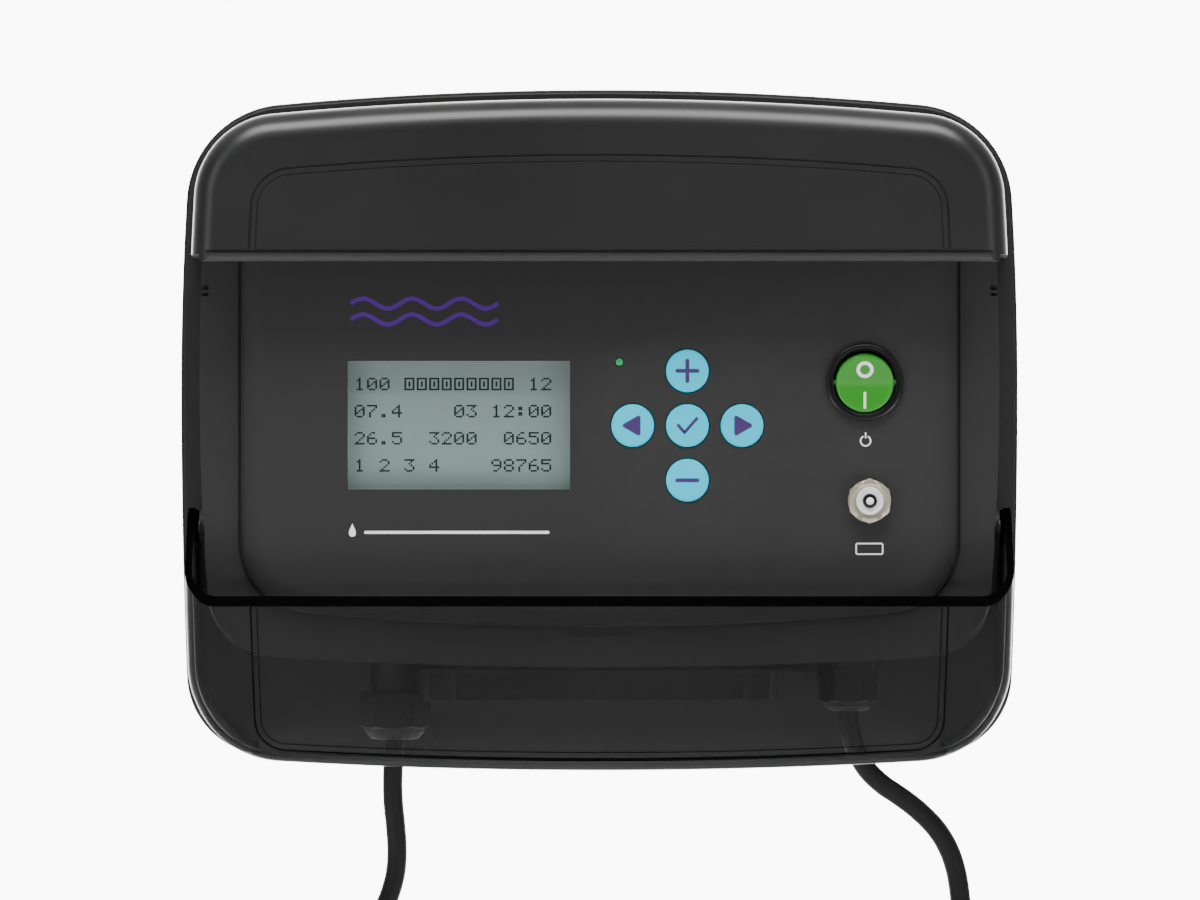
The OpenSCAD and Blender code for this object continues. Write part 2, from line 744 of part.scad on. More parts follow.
module cell_connector() color([0.07, 0.07, 0.07]) difference() {
    union() {
        post([cell_tail_x, tail_d], 15, end_z - 46, end_z - 6);
        translate([cell_tail_x, -tail_d, end_z - 8]) cylinder(r1 = 8, r2 = 4.6, h = 24);
    }
    post([cell_tail_x, tail_d], cell_r, end_z, end_z + 20);
    for (side = [-1, 1]) post([cell_tail_x + side * 6.5, tail_d], 3, end_z - 47, end_z - 24);
}

wall_bracket();
hanger_studs();
rear_shell();
shell_screws();
shell_gasket();
inner_body();
top_cap();
facia_plate();
facia_screws();
lcd_lens();
lcd_frame();
lcd_glass();
lcd_backlight();
display_board();
board_screws();
tact_switches();
status_led();
light_pipe();
clock_battery();
key_plus();
key_minus();
key_left();
key_right();
key_ok();
switch_body();
switch_rocker();
breaker_body();
breaker_washer();
breaker_nut();
reset_button();
main_board();
heat_sink();
rectifier();
capacitors();
relays();
fuse_holder();
terminal_block();
transformer();
transformer_pads();
transformer_clamp();
transformer_bolt();
ribbon_cable();
inner_wires();
vent_grille();
hinge_pins();
smoked_cover();
cell_gland();
cell_gland_nut();
mains_gland();
mains_gland_nut();
gland_seals();
gland_locknuts();
mains_lead();
mains_coil();
mains_plug();
plug_pins();
cell_lead();
cell_coil();
cell_connector();
cable_ties();
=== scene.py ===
from math import pi, radians

import bpy
import numpy as np
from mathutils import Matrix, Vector


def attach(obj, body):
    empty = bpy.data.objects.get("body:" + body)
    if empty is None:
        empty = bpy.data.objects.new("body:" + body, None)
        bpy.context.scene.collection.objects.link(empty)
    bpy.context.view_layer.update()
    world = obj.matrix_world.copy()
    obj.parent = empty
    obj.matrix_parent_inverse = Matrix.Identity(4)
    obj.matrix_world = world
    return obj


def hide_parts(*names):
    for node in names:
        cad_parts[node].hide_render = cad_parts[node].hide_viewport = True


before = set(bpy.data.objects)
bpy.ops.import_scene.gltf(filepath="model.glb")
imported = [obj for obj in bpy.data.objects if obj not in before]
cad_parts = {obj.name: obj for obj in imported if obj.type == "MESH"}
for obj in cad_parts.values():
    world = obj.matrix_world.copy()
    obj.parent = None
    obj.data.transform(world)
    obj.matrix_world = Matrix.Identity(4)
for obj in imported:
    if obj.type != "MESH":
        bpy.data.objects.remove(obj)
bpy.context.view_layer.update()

# ---- Camera --------------------------------------------------------------------------------------
# Looks straight at the facia from 2.5 m, a little below the middle of the box, through a long lens.
lens_data = bpy.data.cameras.new("camera")
lens_data.sensor_width = 36
lens_data.lens = 220.6
lens_data.clip_end = 20
camera = bpy.data.objects.new("camera", lens_data)
camera.location = (0.0002, -2.598, -0.0068)
camera.rotation_euler = (pi / 2, 0, 0)
bpy.context.scene.collection.objects.link(camera)
bpy.context.scene.camera = camera

# ---- Leads ---------------------------------------------------------------------------------------
# Two round PVC-sheathed leads leave the glands under the box. What isn't in use is wound into a flat round
# coil of turns that lie beside and on each other, held by a tie; the end hangs from the coil to its fitting.
def mesh_piece(name, verts, faces, body="housing", crease=32):
    """A mesh from arrays of points and faces, turned outwards: its volume, the sum of the signed volumes of
    the tetrahedra from the origin to each face's fan of triangles, is made positive."""
    verts = np.asarray(verts, float).reshape(-1, 3)
    faces = [list(map(int, f)) for f in faces]
    fans = np.array([(f[0], f[i], f[i + 1]) for f in faces for i in range(1, len(f) - 1)])
    a, b, c = (verts[fans[:, i]] - verts.mean(0) for i in range(3))
    if np.einsum("ij,ij->i", a, np.cross(b, c)).sum() < 0:
        faces = [f[::-1] for f in faces]
    mesh = bpy.data.meshes.new(name)
    mesh.from_pydata(verts, [], faces)
    piece = bpy.data.objects.new(name, mesh)
    bpy.context.scene.collection.objects.link(piece)
    soften(piece, crease)
    if body:
        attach(piece, body)
    return piece


def soften(piece, crease=32):
    piece.data.shade_smooth()
    piece.data.set_sharp_from_angle(angle=radians(crease))


def wrap_faces(n, m, ends="flat"):
    """Faces of n rings of m points: a square between each pair of neighbours, and at the ends either one
    face on each (flat), a strip from the last ring back to the first (loop), or nothing (open)."""
    i, j = np.meshgrid(np.arange(n if ends == "loop" else n - 1), np.arange(m), indexing="ij")
    i, j, k, l = i.ravel(), j.ravel(), (i.ravel() + 1) % n, (j.ravel() + 1) % m
    faces = np.stack([i * m + j, k * m + j, k * m + l, i * m + l], 1).tolist()
    if ends == "flat":
        faces += [list(range(m)), list(range(n * m - 1, (n - 1) * m - 1, -1))]
    return faces


def smooth_line(points, step):
    """Points a step apart along the line through the given ones: each coordinate is a Catmull-Rom cubic of
    the point before, the two at hand and the one after, and the whole is then measured off by arc length."""
    p = np.asarray(points, float)
    p = np.vstack([2 * p[0] - p[1], p, 2 * p[-1] - p[-2]])
    t = np.linspace(0, 1, 9)[None, :-1, None]
    a, b, c, d = (p[i:len(p) - 3 + i, None, :] for i in range(4))
    fine = 0.5 * (2 * b + (c - a) * t + (2 * a - 5 * b + 4 * c - d) * t ** 2
                  + (3 * b - a - 3 * c + d) * t ** 3)
    fine = np.vstack([fine.reshape(-1, 3), p[-2]])
    run = np.r_[0, np.cumsum(np.linalg.norm(np.diff(fine, axis=0), axis=1))]
    at = np.linspace(0, run[-1], int(run[-1] / step) + 1)
    return np.stack([np.interp(at, run, fine[:, i]) for i in range(3)], 1)


def circle(n):
    """Cosines and sines of n even steps round a circle."""
    turn = np.linspace(0, 2 * pi, n, endpoint=False)
    return np.cos(turn), np.sin(turn)


def tube_mesh(line, radius, sides=20, up=(0, 1, 0)):
    """A round tube: at each point of the line a circle of the radius there, square to the line, from two
    unit vectors, the line's heading crossed with up, and the heading crossed with that."""
    heading = np.gradient(line, axis=0)
    heading /= np.linalg.norm(heading, axis=1)[:, None]
    a = np.cross(heading, np.asarray(up, float))
    a /= np.linalg.norm(a, axis=1)[:, None]
    b = np.cross(heading, a)
    cos, sin = (wave[None, :, None] for wave in circle(sides))
    r = np.broadcast_to(np.asarray(radius, float), (len(line),))[:, None, None]
    rings = line[:, None] + r * (a[:, None] * cos + b[:, None] * sin)
    return rings.reshape(-1, 3), wrap_faces(len(line), sides)


def bend(a, b, c, d, n):
    """n points of the Bezier cubic from a to d, with b and c as its two handles, a left out."""
    t = np.arange(1, n + 1)[:, None] / n
    a, b, c, d = (np.array(p, float) for p in (a, b, c, d))
    return (1 - t) ** 3 * a + 3 * (1 - t) ** 2 * t * b + 3 * (1 - t) * t ** 2 * c + t ** 3 * d


def coil_turns(centre, start, total, cells, slip=0.16):
    """Turns about a centre [x, z] in mm: the angle runs from start by total degrees, and the radius and the
    depth step from one cell of the coil's section to the next over a short stretch, on a smooth step."""
    turn = np.arange(0, abs(total) + 1e-6, 7.5)
    share = turn / abs(total) * len(cells)
    cells = np.array(cells, float)
    section = np.broadcast_to(cells[0], (len(turn), 2)).copy()
    for k in range(1, len(cells)):
        s = np.clip((share - k) / slip + 0.5, 0, 1)[:, None]
        section += (cells[k] - cells[k - 1]) * s * s * (3 - 2 * s)
    angle = np.radians(start + np.sign(total) * turn)
    x = centre[0] + section[:, 0] * np.cos(angle)
    z = centre[1] + section[:, 0] * np.sin(angle)
    return np.stack([x, -section[:, 1], z], 1)


def tail(x, depth, z, drop):
    """The last stretch, straight down from [x, z] by drop."""
    return np.stack([np.full(8, x), np.full(8, -depth), z - drop * np.arange(1, 9) / 8], 1)


cell_coil_at, mains_coil_at = (-62, -222), (80, -222)
cell_end_x, mains_end_x = -106.3, 124.3
cell_thick, mains_thick = 6.8, 7.0
tail_drop, point_gap = 60, 0.002
inner, middle, outer = 30.7, 37.5, 44.3
at_back, at_mid, at_front = 65.2, 72, 78.8
cell_start = [[-70.2, -72, -96], [-70.3, -72, -104], [-70.7, -72, -112], [-71, -72, -120], [-70.8, -72, -128],
              [-70, -72, -136], [-69.5, -72, -144]]
cell_join = bend((-69.5, -72, -144), (-68.8, -72, -164), (-83, -78.8, -178.2), (-95.9, -78.8, -193.5), 8)
cell_turns = coil_turns(cell_coil_at, 140, 8 * 360 + 40, [
    (outer, at_front), (outer, at_mid), (middle, at_mid), (middle, at_front), (inner, at_front),
    (inner, at_mid), (inner, at_back), (middle, at_back), (outer, at_back)])
cell_tail = tail(cell_end_x, at_back, cell_coil_at[1], tail_drop)
cell_line = smooth_line(np.vstack([cell_start, cell_join, cell_turns[1:], cell_tail]) / 1e3, point_gap)
mains_start = [[85.5, -72, -88], [85.5, -72, -96], [86, -72, -102], [87.8, -72, -109], [91.5, -72, -116],
               [97, -72, -121.5], [103.6, -72, -126], [110, -72, -131], [115.8, -72, -137], [120, -72, -144],
               [122.6, -72.2, -152], [123.9, -73, -161], [124.3, -74.4, -170], [124.3, -76.2, -180],
               [124.3, -77.8, -190], [124.3, -78.8, -200], [124.3, -78.8, -210]]
mains_turns = coil_turns(mains_coil_at, 0, -7 * 360, [
    (outer, at_front), (middle, at_front), (inner, at_front), (inner, at_mid), (inner, at_back),
    (middle, at_back), (outer, at_back)])
mains_tail = tail(mains_end_x, at_back, mains_coil_at[1], tail_drop)
mains_line = smooth_line(np.vstack([mains_start, mains_turns, mains_tail]) / 1e3, point_gap)

leads = {}
for name, line, thick, nodes in (
        ("cell_flex", cell_line, cell_thick, ("cell_lead", "cell_coil")),
        ("mains_flex", mains_line, mains_thick, ("mains_lead", "mains_coil"))):
    leads[name] = mesh_piece(name, *tube_mesh(line, thick / 2e3, 18))
    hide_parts(*nodes)

cords = {"cell_flex": (cell_line, cell_thick / 1e3, "connector", 2.08),
         "mains_flex": (mains_line, mains_thick / 1e3, "plug", 1.82)}

# ---- Room and light ------------------------------------------------------------------------------
# A bright wall stands well behind the box, and a pale floor lies under it. A large soft light hangs above and
# in front, with softer ones at the sides, so that the rounded edges carry long even highlights.
floor_z, wall_depth = -0.42, 0.9


def plain_material(name, colour, rough):
    mat = bpy.data.materials.new(name)
    mat.use_nodes = True
    skin = mat.node_tree.nodes["Principled BSDF"]
    skin.inputs["Base Color"].default_value = (*colour, 1)
    skin.inputs["Roughness"].default_value = rough
    return mat, mat.node_tree.links, skin


def node(tree, kind, links=(), **values):
    """Adds a node; values set its properties or, with a name of one of its sockets, that socket."""
    n = tree.nodes.new(kind)
    for key, value in values.items():
        if key in n.inputs.keys():
            n.inputs[key].default_value = value
        else:
            setattr(n, key, value)
    for source, target in links:
        tree.links.new(source, n.inputs[target])
    return n


def ramp(tree, value, first, last, low=0, high=1, **more):
    """A number that goes from low to high as the value goes from first to last."""
    n = node(tree, "ShaderNodeMapRange", [(value, "Value")], **more)
    for label, number in (("From Min", first), ("From Max", last), ("To Min", low), ("To Max", high)):
        n.inputs[label].default_value = number
    return n.outputs["Result"]


def stage_sheet(name, corners, mat):
    mesh = bpy.data.meshes.new(name)
    mesh.from_pydata(corners, [], [[0, 1, 2, 3]])
    mesh.materials.append(mat)
    sheet = bpy.data.objects.new(name, mesh)
    bpy.context.scene.collection.objects.link(sheet)


paper = plain_material("floor_paper", (0.8, 0.8, 0.8), 0.9)[0]
glow, links, skin = plain_material("wall_paper", (0.5, 0.5, 0.5), 0.9)
place = node(glow.node_tree, "ShaderNodeTexCoord").outputs["Object"]
reach = node(glow.node_tree, "ShaderNodeVectorMath", [(place, 0)], operation="DISTANCE")
reach.inputs[1].default_value = (0, wall_depth, 0)
bright, dim = 9, 0.3
fade = ramp(glow.node_tree, reach.outputs["Value"], 0.5, 1.1, bright, dim, interpolation_type="SMOOTHSTEP")
links.new(fade, skin.inputs["Emission Strength"])
skin.inputs["Emission Color"].default_value = (1, 1, 1, 1)
for mat in (paper, glow):
    reverse = node(mat.node_tree, "ShaderNodeNewGeometry").outputs["Backfacing"]
    seen = node(mat.node_tree, "ShaderNodeMath", [(reverse, 1)], operation="SUBTRACT")
    seen.inputs[0].default_value = 1
    mat.node_tree.links.new(seen.outputs[0], mat.node_tree.nodes["Principled BSDF"].inputs["Alpha"])
seam = [(4, wall_depth, floor_z), (-4, wall_depth, floor_z)]
stage_sheet("floor", [(-4, -5, floor_z), (4, -5, floor_z)] + seam, paper)
stage_sheet("wall", seam[::-1] + [(4, wall_depth, 4), (-4, wall_depth, 4)], glow)

world = bpy.data.worlds.new("studio")
world.use_nodes = True
world.node_tree.nodes["Background"].inputs["Color"].default_value = (1, 1, 1, 1)
world.node_tree.nodes["Background"].inputs["Strength"].default_value = 0.2
bpy.context.scene.world = world

box_middle, box_foot = (0, -0.1, 0), (0, -0.1, -0.06)
for name, place, aim, size, watts in (
        ("top_light", (0, -0.7, 1.3), box_middle, (1.6, 0.6), 44),
        ("left_light", (-1.5, -1.1, 0.5), box_middle, (0.6, 1.2), 5),
        ("right_light", (1.5, -1.1, 0.5), box_middle, (0.6, 1.2), 4),
        ("front_light", (0, -2.6, 2.2), box_middle, (2.4, 1.0), 5),
        ("low_light", (0, -1.5, -0.36), box_foot, (2.4, 0.1), 4),
        ("low_left_light", (-0.5, -0.5, -0.38), (-0.1, -0.1, -0.05), (0.3, 0.2), 2.2),
        ("low_right_light", (0.5, -0.5, -0.38), (0.1, -0.1, -0.05), (0.3, 0.2), 2.2)):
    data = bpy.data.lights.new(name, "AREA")
    data.shape = "RECTANGLE"
    data.size, data.size_y = size
    data.energy = watts
    lamp = bpy.data.objects.new(name, data)
    lamp.location = place
    lamp.rotation_euler = (Vector(aim) - Vector(place)).to_track_quat("-Z", "Y").to_euler()
    bpy.context.scene.collection.objects.link(lamp)

# ---- Moulded black plastic -----------------------------------------------------------------------
# The box, the cap and the small fittings are ABS, moulded with a fine spark-eroded grain; handling polishes
# the edges a little, and dust settles on what faces up.
def group(name, outputs, inputs=()):
    tree = bpy.data.node_groups.new(name, "ShaderNodeTree")
    for label, kind, value in inputs:
        socket = tree.interface.new_socket(label, in_out="INPUT", socket_type=kind)
        socket.default_value = value
    for label in outputs:
        tree.interface.new_socket(label, in_out="OUTPUT", socket_type="NodeSocketFloat")
    return tree, tree.nodes.new("NodeGroupInput").outputs, tree.nodes.new("NodeGroupOutput").inputs


grain_group, given, out = group("moulding_grain", ("Height", "Patches"),
                                (("Scale", "NodeSocketFloat", 2600.0),))
coords = node(grain_group, "ShaderNodeTexCoord").outputs["Object"]
fine = node(grain_group, "ShaderNodeTexNoise", [(coords, "Vector"), (given["Scale"], "Scale")], Detail=3.0,
            Roughness=0.6)
waves = node(grain_group, "ShaderNodeTexNoise", [(coords, "Vector")], Scale=9.0, Detail=4.0)
spread = ramp(grain_group, waves.outputs["Fac"], 0.35, 0.65)
grain_group.links.new(fine.outputs["Fac"], out["Height"])
grain_group.links.new(spread, out["Patches"])

wear_group, given, out = group("edge_wear", ("Mask",), (("Width", "NodeSocketFloat", 0.06),))
sharp = node(wear_group, "ShaderNodeNewGeometry").outputs["Pointiness"]
flat_pointiness = 0.51
rise = node(wear_group, "ShaderNodeMath", [(given["Width"], 0)], operation="ADD")
rise.inputs[1].default_value = flat_pointiness
edge = ramp(wear_group, sharp, flat_pointiness, 1)
wear_group.links.new(rise.outputs[0], edge.node.inputs["From Max"])
rub = node(wear_group, "ShaderNodeTexNoise",
           [(node(wear_group, "ShaderNodeTexCoord").outputs["Object"], "Vector")], Scale=120.0, Detail=5.0)
both = node(wear_group, "ShaderNodeMath", [(edge, 0), (rub.outputs["Fac"], 1)],
            operation="MULTIPLY")
wear_group.links.new(both.outputs[0], out["Mask"])

dust_group, given, out = group("settled_dust", ("Mask",), (("Amount", "NodeSocketFloat", 0.25),))
facing = node(dust_group, "ShaderNodeSeparateXYZ",
              [(node(dust_group, "ShaderNodeNewGeometry").outputs["Normal"], "Vector")])
upward = node(dust_group, "ShaderNodeMapRange", [(facing.outputs["Z"], "Value"), (given["Amount"], "To Max")])
upward.inputs["From Min"].default_value = 0.3
specks = node(dust_group, "ShaderNodeTexNoise",
              [(node(dust_group, "ShaderNodeTexCoord").outputs["Object"], "Vector")], Scale=60.0, Detail=8.0)
fall = node(dust_group, "ShaderNodeMath", [(upward.outputs["Result"], 0), (specks.outputs["Fac"], 1)],
            operation="MULTIPLY")
dust_group.links.new(fall.outputs[0], out["Mask"])


def placed(mat, tree, **values):
    n = mat.node_tree.nodes.new("ShaderNodeGroup")
    n.node_tree = tree
    for key, value in values.items():
        n.inputs[key].default_value = value
    return n.outputs


def mixed(mat, mask, low, high, kind="FLOAT"):
    """A number or colour that goes from low to high with the mask; low and high may be sockets."""
    n = node(mat.node_tree, "ShaderNodeMix", data_type=kind)
    first = {"FLOAT": 2, "RGBA": 6}[kind]
    mat.node_tree.links.new(mask, n.inputs[0])
    for place, value in ((first, low), (first + 1, high)):
        if isinstance(value, bpy.types.NodeSocket):
            mat.node_tree.links.new(value, n.inputs[place])
        else:
            n.inputs[place].default_value = (*value, 1) if kind == "RGBA" else value
    return n.outputs[{"FLOAT": 0, "RGBA": 2}[kind]]


def bumped(mat, skin, height, strength, distance):
    n = node(mat.node_tree, "ShaderNodeBump", [(height, "Height")], Strength=strength, Distance=distance)
    mat.node_tree.links.new(n.outputs["Normal"], skin.inputs["Normal"])


def moulded(name, colour, rough=0.42, grain=0.12, scale=2600.0, dust=0.25, wear=0.35, shine=0.5):
    """A moulded plastic: its colour drifts a little in patches, edges are rubbed brighter and smoother, and
    dust lies on what faces up; the bump is the grain of the mould."""
    mat, links, skin = plain_material(name, colour, rough)
    skin.inputs["Specular IOR Level"].default_value = shine
    texture = placed(mat, grain_group, Scale=scale)
    rubbed = placed(mat, wear_group)["Mask"]
    dusty = placed(mat, dust_group, Amount=dust)["Mask"]
    colour = np.array(colour)
    body = mixed(mat, texture["Patches"], colour * 0.93, colour * 1.07, "RGBA")
    body = mixed(mat, rubbed, body, colour * (1 + wear) + 0.01 * wear, "RGBA")
    body = mixed(mat, dusty, body, (0.32, 0.31, 0.29), "RGBA")
    links.new(body, skin.inputs["Base Color"])
    gloss = mixed(mat, texture["Patches"], rough - 0.03, rough + 0.03)
    gloss = mixed(mat, rubbed, gloss, rough - 0.28 * wear)
    links.new(mixed(mat, dusty, gloss, 0.8), skin.inputs["Roughness"])
    bumped(mat, skin, texture["Height"], grain, 0.00008)
    return mat


def dress(pieces, mat):
    """Gives the material to pieces or, by name, to CAD nodes."""
    for p in [pieces] if isinstance(pieces, (str, bpy.types.Object)) else pieces:
        mesh = (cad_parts[p] if isinstance(p, str) else p).data
        mesh.materials.clear()
        mesh.materials.append(mat)


box_plastic = moulded("box_plastic", (0.0135, 0.0135, 0.0138), 0.52, wear=0.05, dust=0.1, shine=0.25)
cap_plastic = moulded("cap_plastic", (0.0105, 0.0105, 0.0108), 0.3, grain=0.08, dust=0.1, wear=0.05,
                      shine=0.4)
facia_film = moulded("facia_film", (0.0145, 0.0145, 0.0145), 0.68, grain=0.2, scale=1500.0, dust=0.1,
                     wear=0.2, shine=0.25)
nylon = moulded("gland_nylon", (0.005, 0.005, 0.0052), 0.5, grain=0.15, dust=0.05, wear=0.05, shine=0.25)
sheath = moulded("lead_sheath", (0.004, 0.004, 0.0043), 0.55, grain=0.25, scale=1400.0, dust=0.03, wear=0.05,
                 shine=0.18)
dress(list(leads.values()), sheath)

# ---- Rear shell ----------------------------------------------------------------------------------
# The back half of the box, one moulding with a step that becomes the rim around the whole front. Six deep
# screw pockets and two keyed studs for the bracket are in its back.
def arc_run(parts):
    """Points and outward normals of arcs given as centre, radius, first and last angle in degrees and
    number of points: centre plus radius times the normal, which is the cosine and sine of the angle."""
    points, normals = [], []
    for (cx, cz), r, first, last, n in parts:
        a = np.radians(np.linspace(first, last, n, endpoint=False))
        way = np.stack([np.cos(a), np.sin(a)], 1)
        points.append(np.array([cx, cz]) + r * way)
        normals.append(way)
    return np.vstack(points), np.vstack(normals)


def corner_centre(a, ra, b, rb, side):
    """Where circles of radius ra about a and rb about b meet, on the given side of the line from a to b."""
    a, b = np.array(a, float), np.array(b, float)
    far = np.linalg.norm(b - a)
    u = (b - a) / far
    along = (far ** 2 + ra ** 2 - rb ** 2) / (2 * far)
    return a + u * along + side * np.array([-u[1], u[0]]) * np.sqrt(ra ** 2 - along ** 2)


def heading(a, b):
    return np.degrees(np.arctan2(b[1] - a[1], b[0] - a[0]))


def box_outline(half, top, drop, top_r, low_r, lower_bow=2500, belt=15):
    """Outline of the box seen from the front, in mm: bowed top, sides and underside, large arcs, joined by
    corner arcs whose centres lie where both neighbours' arcs, moved in by the corner's radius, cross."""
    side_bow, top_bow, under_bow = 1100, 1220, 1900
    side, lower = (half - side_bow, belt), (half - lower_bow, belt)
    over, under = (0, top - top_bow), (0, under_bow - drop)
    low = corner_centre(lower, lower_bow - low_r, under, under_bow - low_r, -1)
    high = corner_centre(side, side_bow - top_r, over, top_bow - top_r, 1)
    p, n = arc_run([
        (under, under_bow, -90, heading(under, low), 22),
        (low, low_r, heading(under, low), heading(lower, low), 22),
        (lower, lower_bow, heading(lower, low), 0, 14), (side, side_bow, 0, heading(side, high), 14),
        (high, top_r, heading(side, high), heading(over, high), 22),
        (over, top_bow, heading(over, high), 90, 22)])
    p, n = np.vstack([p, [[0, top]]]), np.vstack([n, [[0, 1]]])
    flip = np.array([-1, 1])
    return np.vstack([p, p[-2:0:-1] * flip]), np.vstack([n, n[-2:0:-1] * flip])


def ring(line, inset, depth):
    """The outline moved inwards by inset along its normals, at a depth from the wall, in metres."""
    p = line[0] - np.asarray(inset, float).reshape(-1, 1) * line[1]
    return np.stack([p[:, 0], -np.broadcast_to(depth, p[:, 0].shape), p[:, 1]], 1) / 1e3


def lofted(name, rings, ends="flat", **more):
    """A skin through rings of equally many points."""
    rings = np.stack(rings)
    return mesh_piece(name, rings, wrap_faces(*rings.shape[:2], ends), **more)


def stacked(rings):
    """Equally many points in each ring, in mm, as the points, in metres, and the faces of a closed part."""
    return np.vstack(rings) / 1e3, wrap_faces(len(rings), len(rings[0]))


def turned(x, z, profile, sides=72):
    """A solid turned about an axis along the depth, from its profile's [radius, depth] pairs."""
    cos, sin = circle(sides)
    return stacked([np.stack([x + r * cos, np.full(sides, -d), z + r * sin], 1) for r, d in profile])


def rod_part(x, z, r, near, far, sides=48):
    """A round bar along the depth, in mm."""
    return turned(x, z, [(r, near), (r, far)], sides)


def bar_part(depth, z, r, left, right, sides=48):
    """A round bar from left to right."""
    cos, sin = circle(sides)
    return stacked([np.stack([np.full(sides, x), -depth + r * cos, z + r * sin], 1) for x in (left, right)])


def post_part(x, depth, r, low, high, sides=48):
    """A round upright bar."""
    cos, sin = circle(sides)
    return stacked([np.stack([x + r * cos, -depth + r * sin, np.full(sides, z)], 1) for z in (low, high)])


def block_part(x, d, z):
    """A block between pairs of x, depth and z."""
    plan = np.array([(x[0], -d[0]), (x[1], -d[0]), (x[1], -d[1]), (x[0], -d[1])])
    return stacked([np.column_stack([plan, np.full(4, h)]) for h in z])


def carved(piece, parts, operation="DIFFERENCE", mat=None):
    """Joins the parts to the piece or cuts them from it, and keeps the result as a plain mesh."""
    for verts, faces in parts:
        tool = mesh_piece("tool", verts, faces, body=None)
        if mat:
            tool.data.materials.append(mat)
        step = piece.modifiers.new("cut", "BOOLEAN")
        step.operation, step.solver, step.object = operation, "EXACT", tool
        step.material_mode = "TRANSFER"
        done = bpy.data.meshes.new_from_object(piece.evaluated_get(bpy.context.evaluated_depsgraph_get()))
        piece.modifiers.clear()
        piece.data = done
        bpy.data.objects.remove(tool)
    soften(piece)
    return piece


half_wide, top_z, top_corner = 145, 118, 35
rim_line = box_outline(half_wide, top_z, 116, top_corner, 28)
rear_rings = [ring(rim_line, i, d) for i, d in (
    (5.5, 11.2), (5.5, 49), (0.5, 49), (0, 48.5), (0, 43.4), (0.5, 42.6), (2, 41.6), (2.5, 40.8), (2.5, 17),
    (2.8, 14.2), (3.6, 11.6), (5, 9.5), (7, 8.3), (9, 8), (9.6, 8))]
rear_case = lofted("rear_case", rear_rings)
pockets = [(s * x, z) for s in (-1, 1) for x, z in ((124.5, 89), (130, 5), (116, -72))]
rear_case.data.materials.append(box_plastic)
carved(rear_case, [rod_part(x, z, 5, 9, 48.9) for x, z in pockets]
       + [rod_part(x, 50, 6, 6.9, 12.8) for x in (-45, 45)], "UNION")
carved(rear_case, [rod_part(x, z, 4.2, 0, 14) for x, z in pockets]
       + [rod_part(x, z, 2.2, 13, 60) for x, z in pockets]
       + [rod_part(x, 50, 2.55, 0, 12.6) for x in (-45, 45)])
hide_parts("rear_shell")

# ---- Inner body ----------------------------------------------------------------------------------
# The front half of the box closes the rear shell with a flange and a gasket. Its sides draw in towards the
# front and its lower corners are rounder there; the bosses for the two glands are in its floor.
flange, hinge_depth, hinge_z = 53.2, 70, -33
switch_x, switch_z = 90.2, 16.2
breaker_x, breaker_z = 91.8, -24.1
switch_hole, breaker_hole = 12, 4.9
base_line = box_outline(136.9, 109.6, 81.6, 26.6, 20, 1600)
face_line = box_outline(136.3, 109.2, 80.8, 26.2, 25, 900)
inner_case = lofted("inner_case", [
    ring(face_line, 3, 89), ring(base_line, 3, 50.2), ring(rim_line, 1, 50.2), ring(rim_line, 1, 52.6),
    ring(rim_line, 1.6, flange), ring(base_line, 0, flange), ring(face_line, 0, 91.92),
    ring(face_line, 0.08, 92),
    ring(face_line, 1.3, 92), ring(face_line, 1.7, 92)])
dress(inner_case, box_plastic)
cell_at, mains_at = (-70.2, 72), (85.5, 72)
carved(inner_case, [bar_part(hinge_depth, hinge_z, 5.5, s * 127, s * 137.3) for s in (-1, 1)]
       + [post_part(*cell_at, 7.8, -90.1, -79.5), post_part(*mains_at, 9, -82, -79.2),
          block_part((-89.3, -78.7), (66, 78), (-87.7, -79.5))]
       + [rod_part(x, z, 4.5, 50.3, 62) for x, z in pockets], "UNION")
carved(inner_case, [
    block_part((-101, 64), (80, 93), (-38, 40)), rod_part(switch_x, switch_z, switch_hole, 80, 93),
    rod_part(breaker_x, breaker_z, breaker_hole, 80, 93),
    post_part(*cell_at, 5.9, -91, -70), post_part(*mains_at, 5.9, -91, -70),
    block_part((-9.7, 9.7), (90, 93), (-70.4, -67.3))]
    + [block_part(sorted((s * 133.3, s * 140)), (89.8, 93), z) for s in (-1, 1)
       for z in ((45.7, 46.8), (47.7, 49.4))]
    + [block_part(sorted((s * 134.6, s * 140)), (78, 93), (-58, -32.6)) for s in (-1, 1)])
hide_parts("inner_body")

# ---- Facia ---------------------------------------------------------------------------------------
# A plate with a soft bevel all round, flat and matt in the middle, with openings for the display window, the
# keys, the status light, the switch and the breaker.
def facia_outline():
    """Bowed underside of radius 1060, low corners of radius 24, straight sides, top corners of radius 10 and
    a straight top."""
    under, x, bow = (0, 1060 - 67), 122 - 24, 1060
    low = (x, under[1] - np.sqrt((bow - 24) ** 2 - x ** 2))
    high = (122 - 10, 72 - 10)
    p, n = arc_run([(under, bow, -90, heading(under, low), 24), (low, 24, heading(under, low), 0, 22),
                    ((high[0], low[1] + 4), 10, 0, 0.001, 1), (high, 10, 0, 90, 14)])
    p, n = np.vstack([p, [[high[0], 72], [0, 72]]]), np.vstack([n, [[0, 1], [0, 1]]])
    flip = np.array([-1, 1])
    return np.vstack([p, p[-2:0:-1] * flip]), np.vstack([n, n[-2:0:-1] * flip])


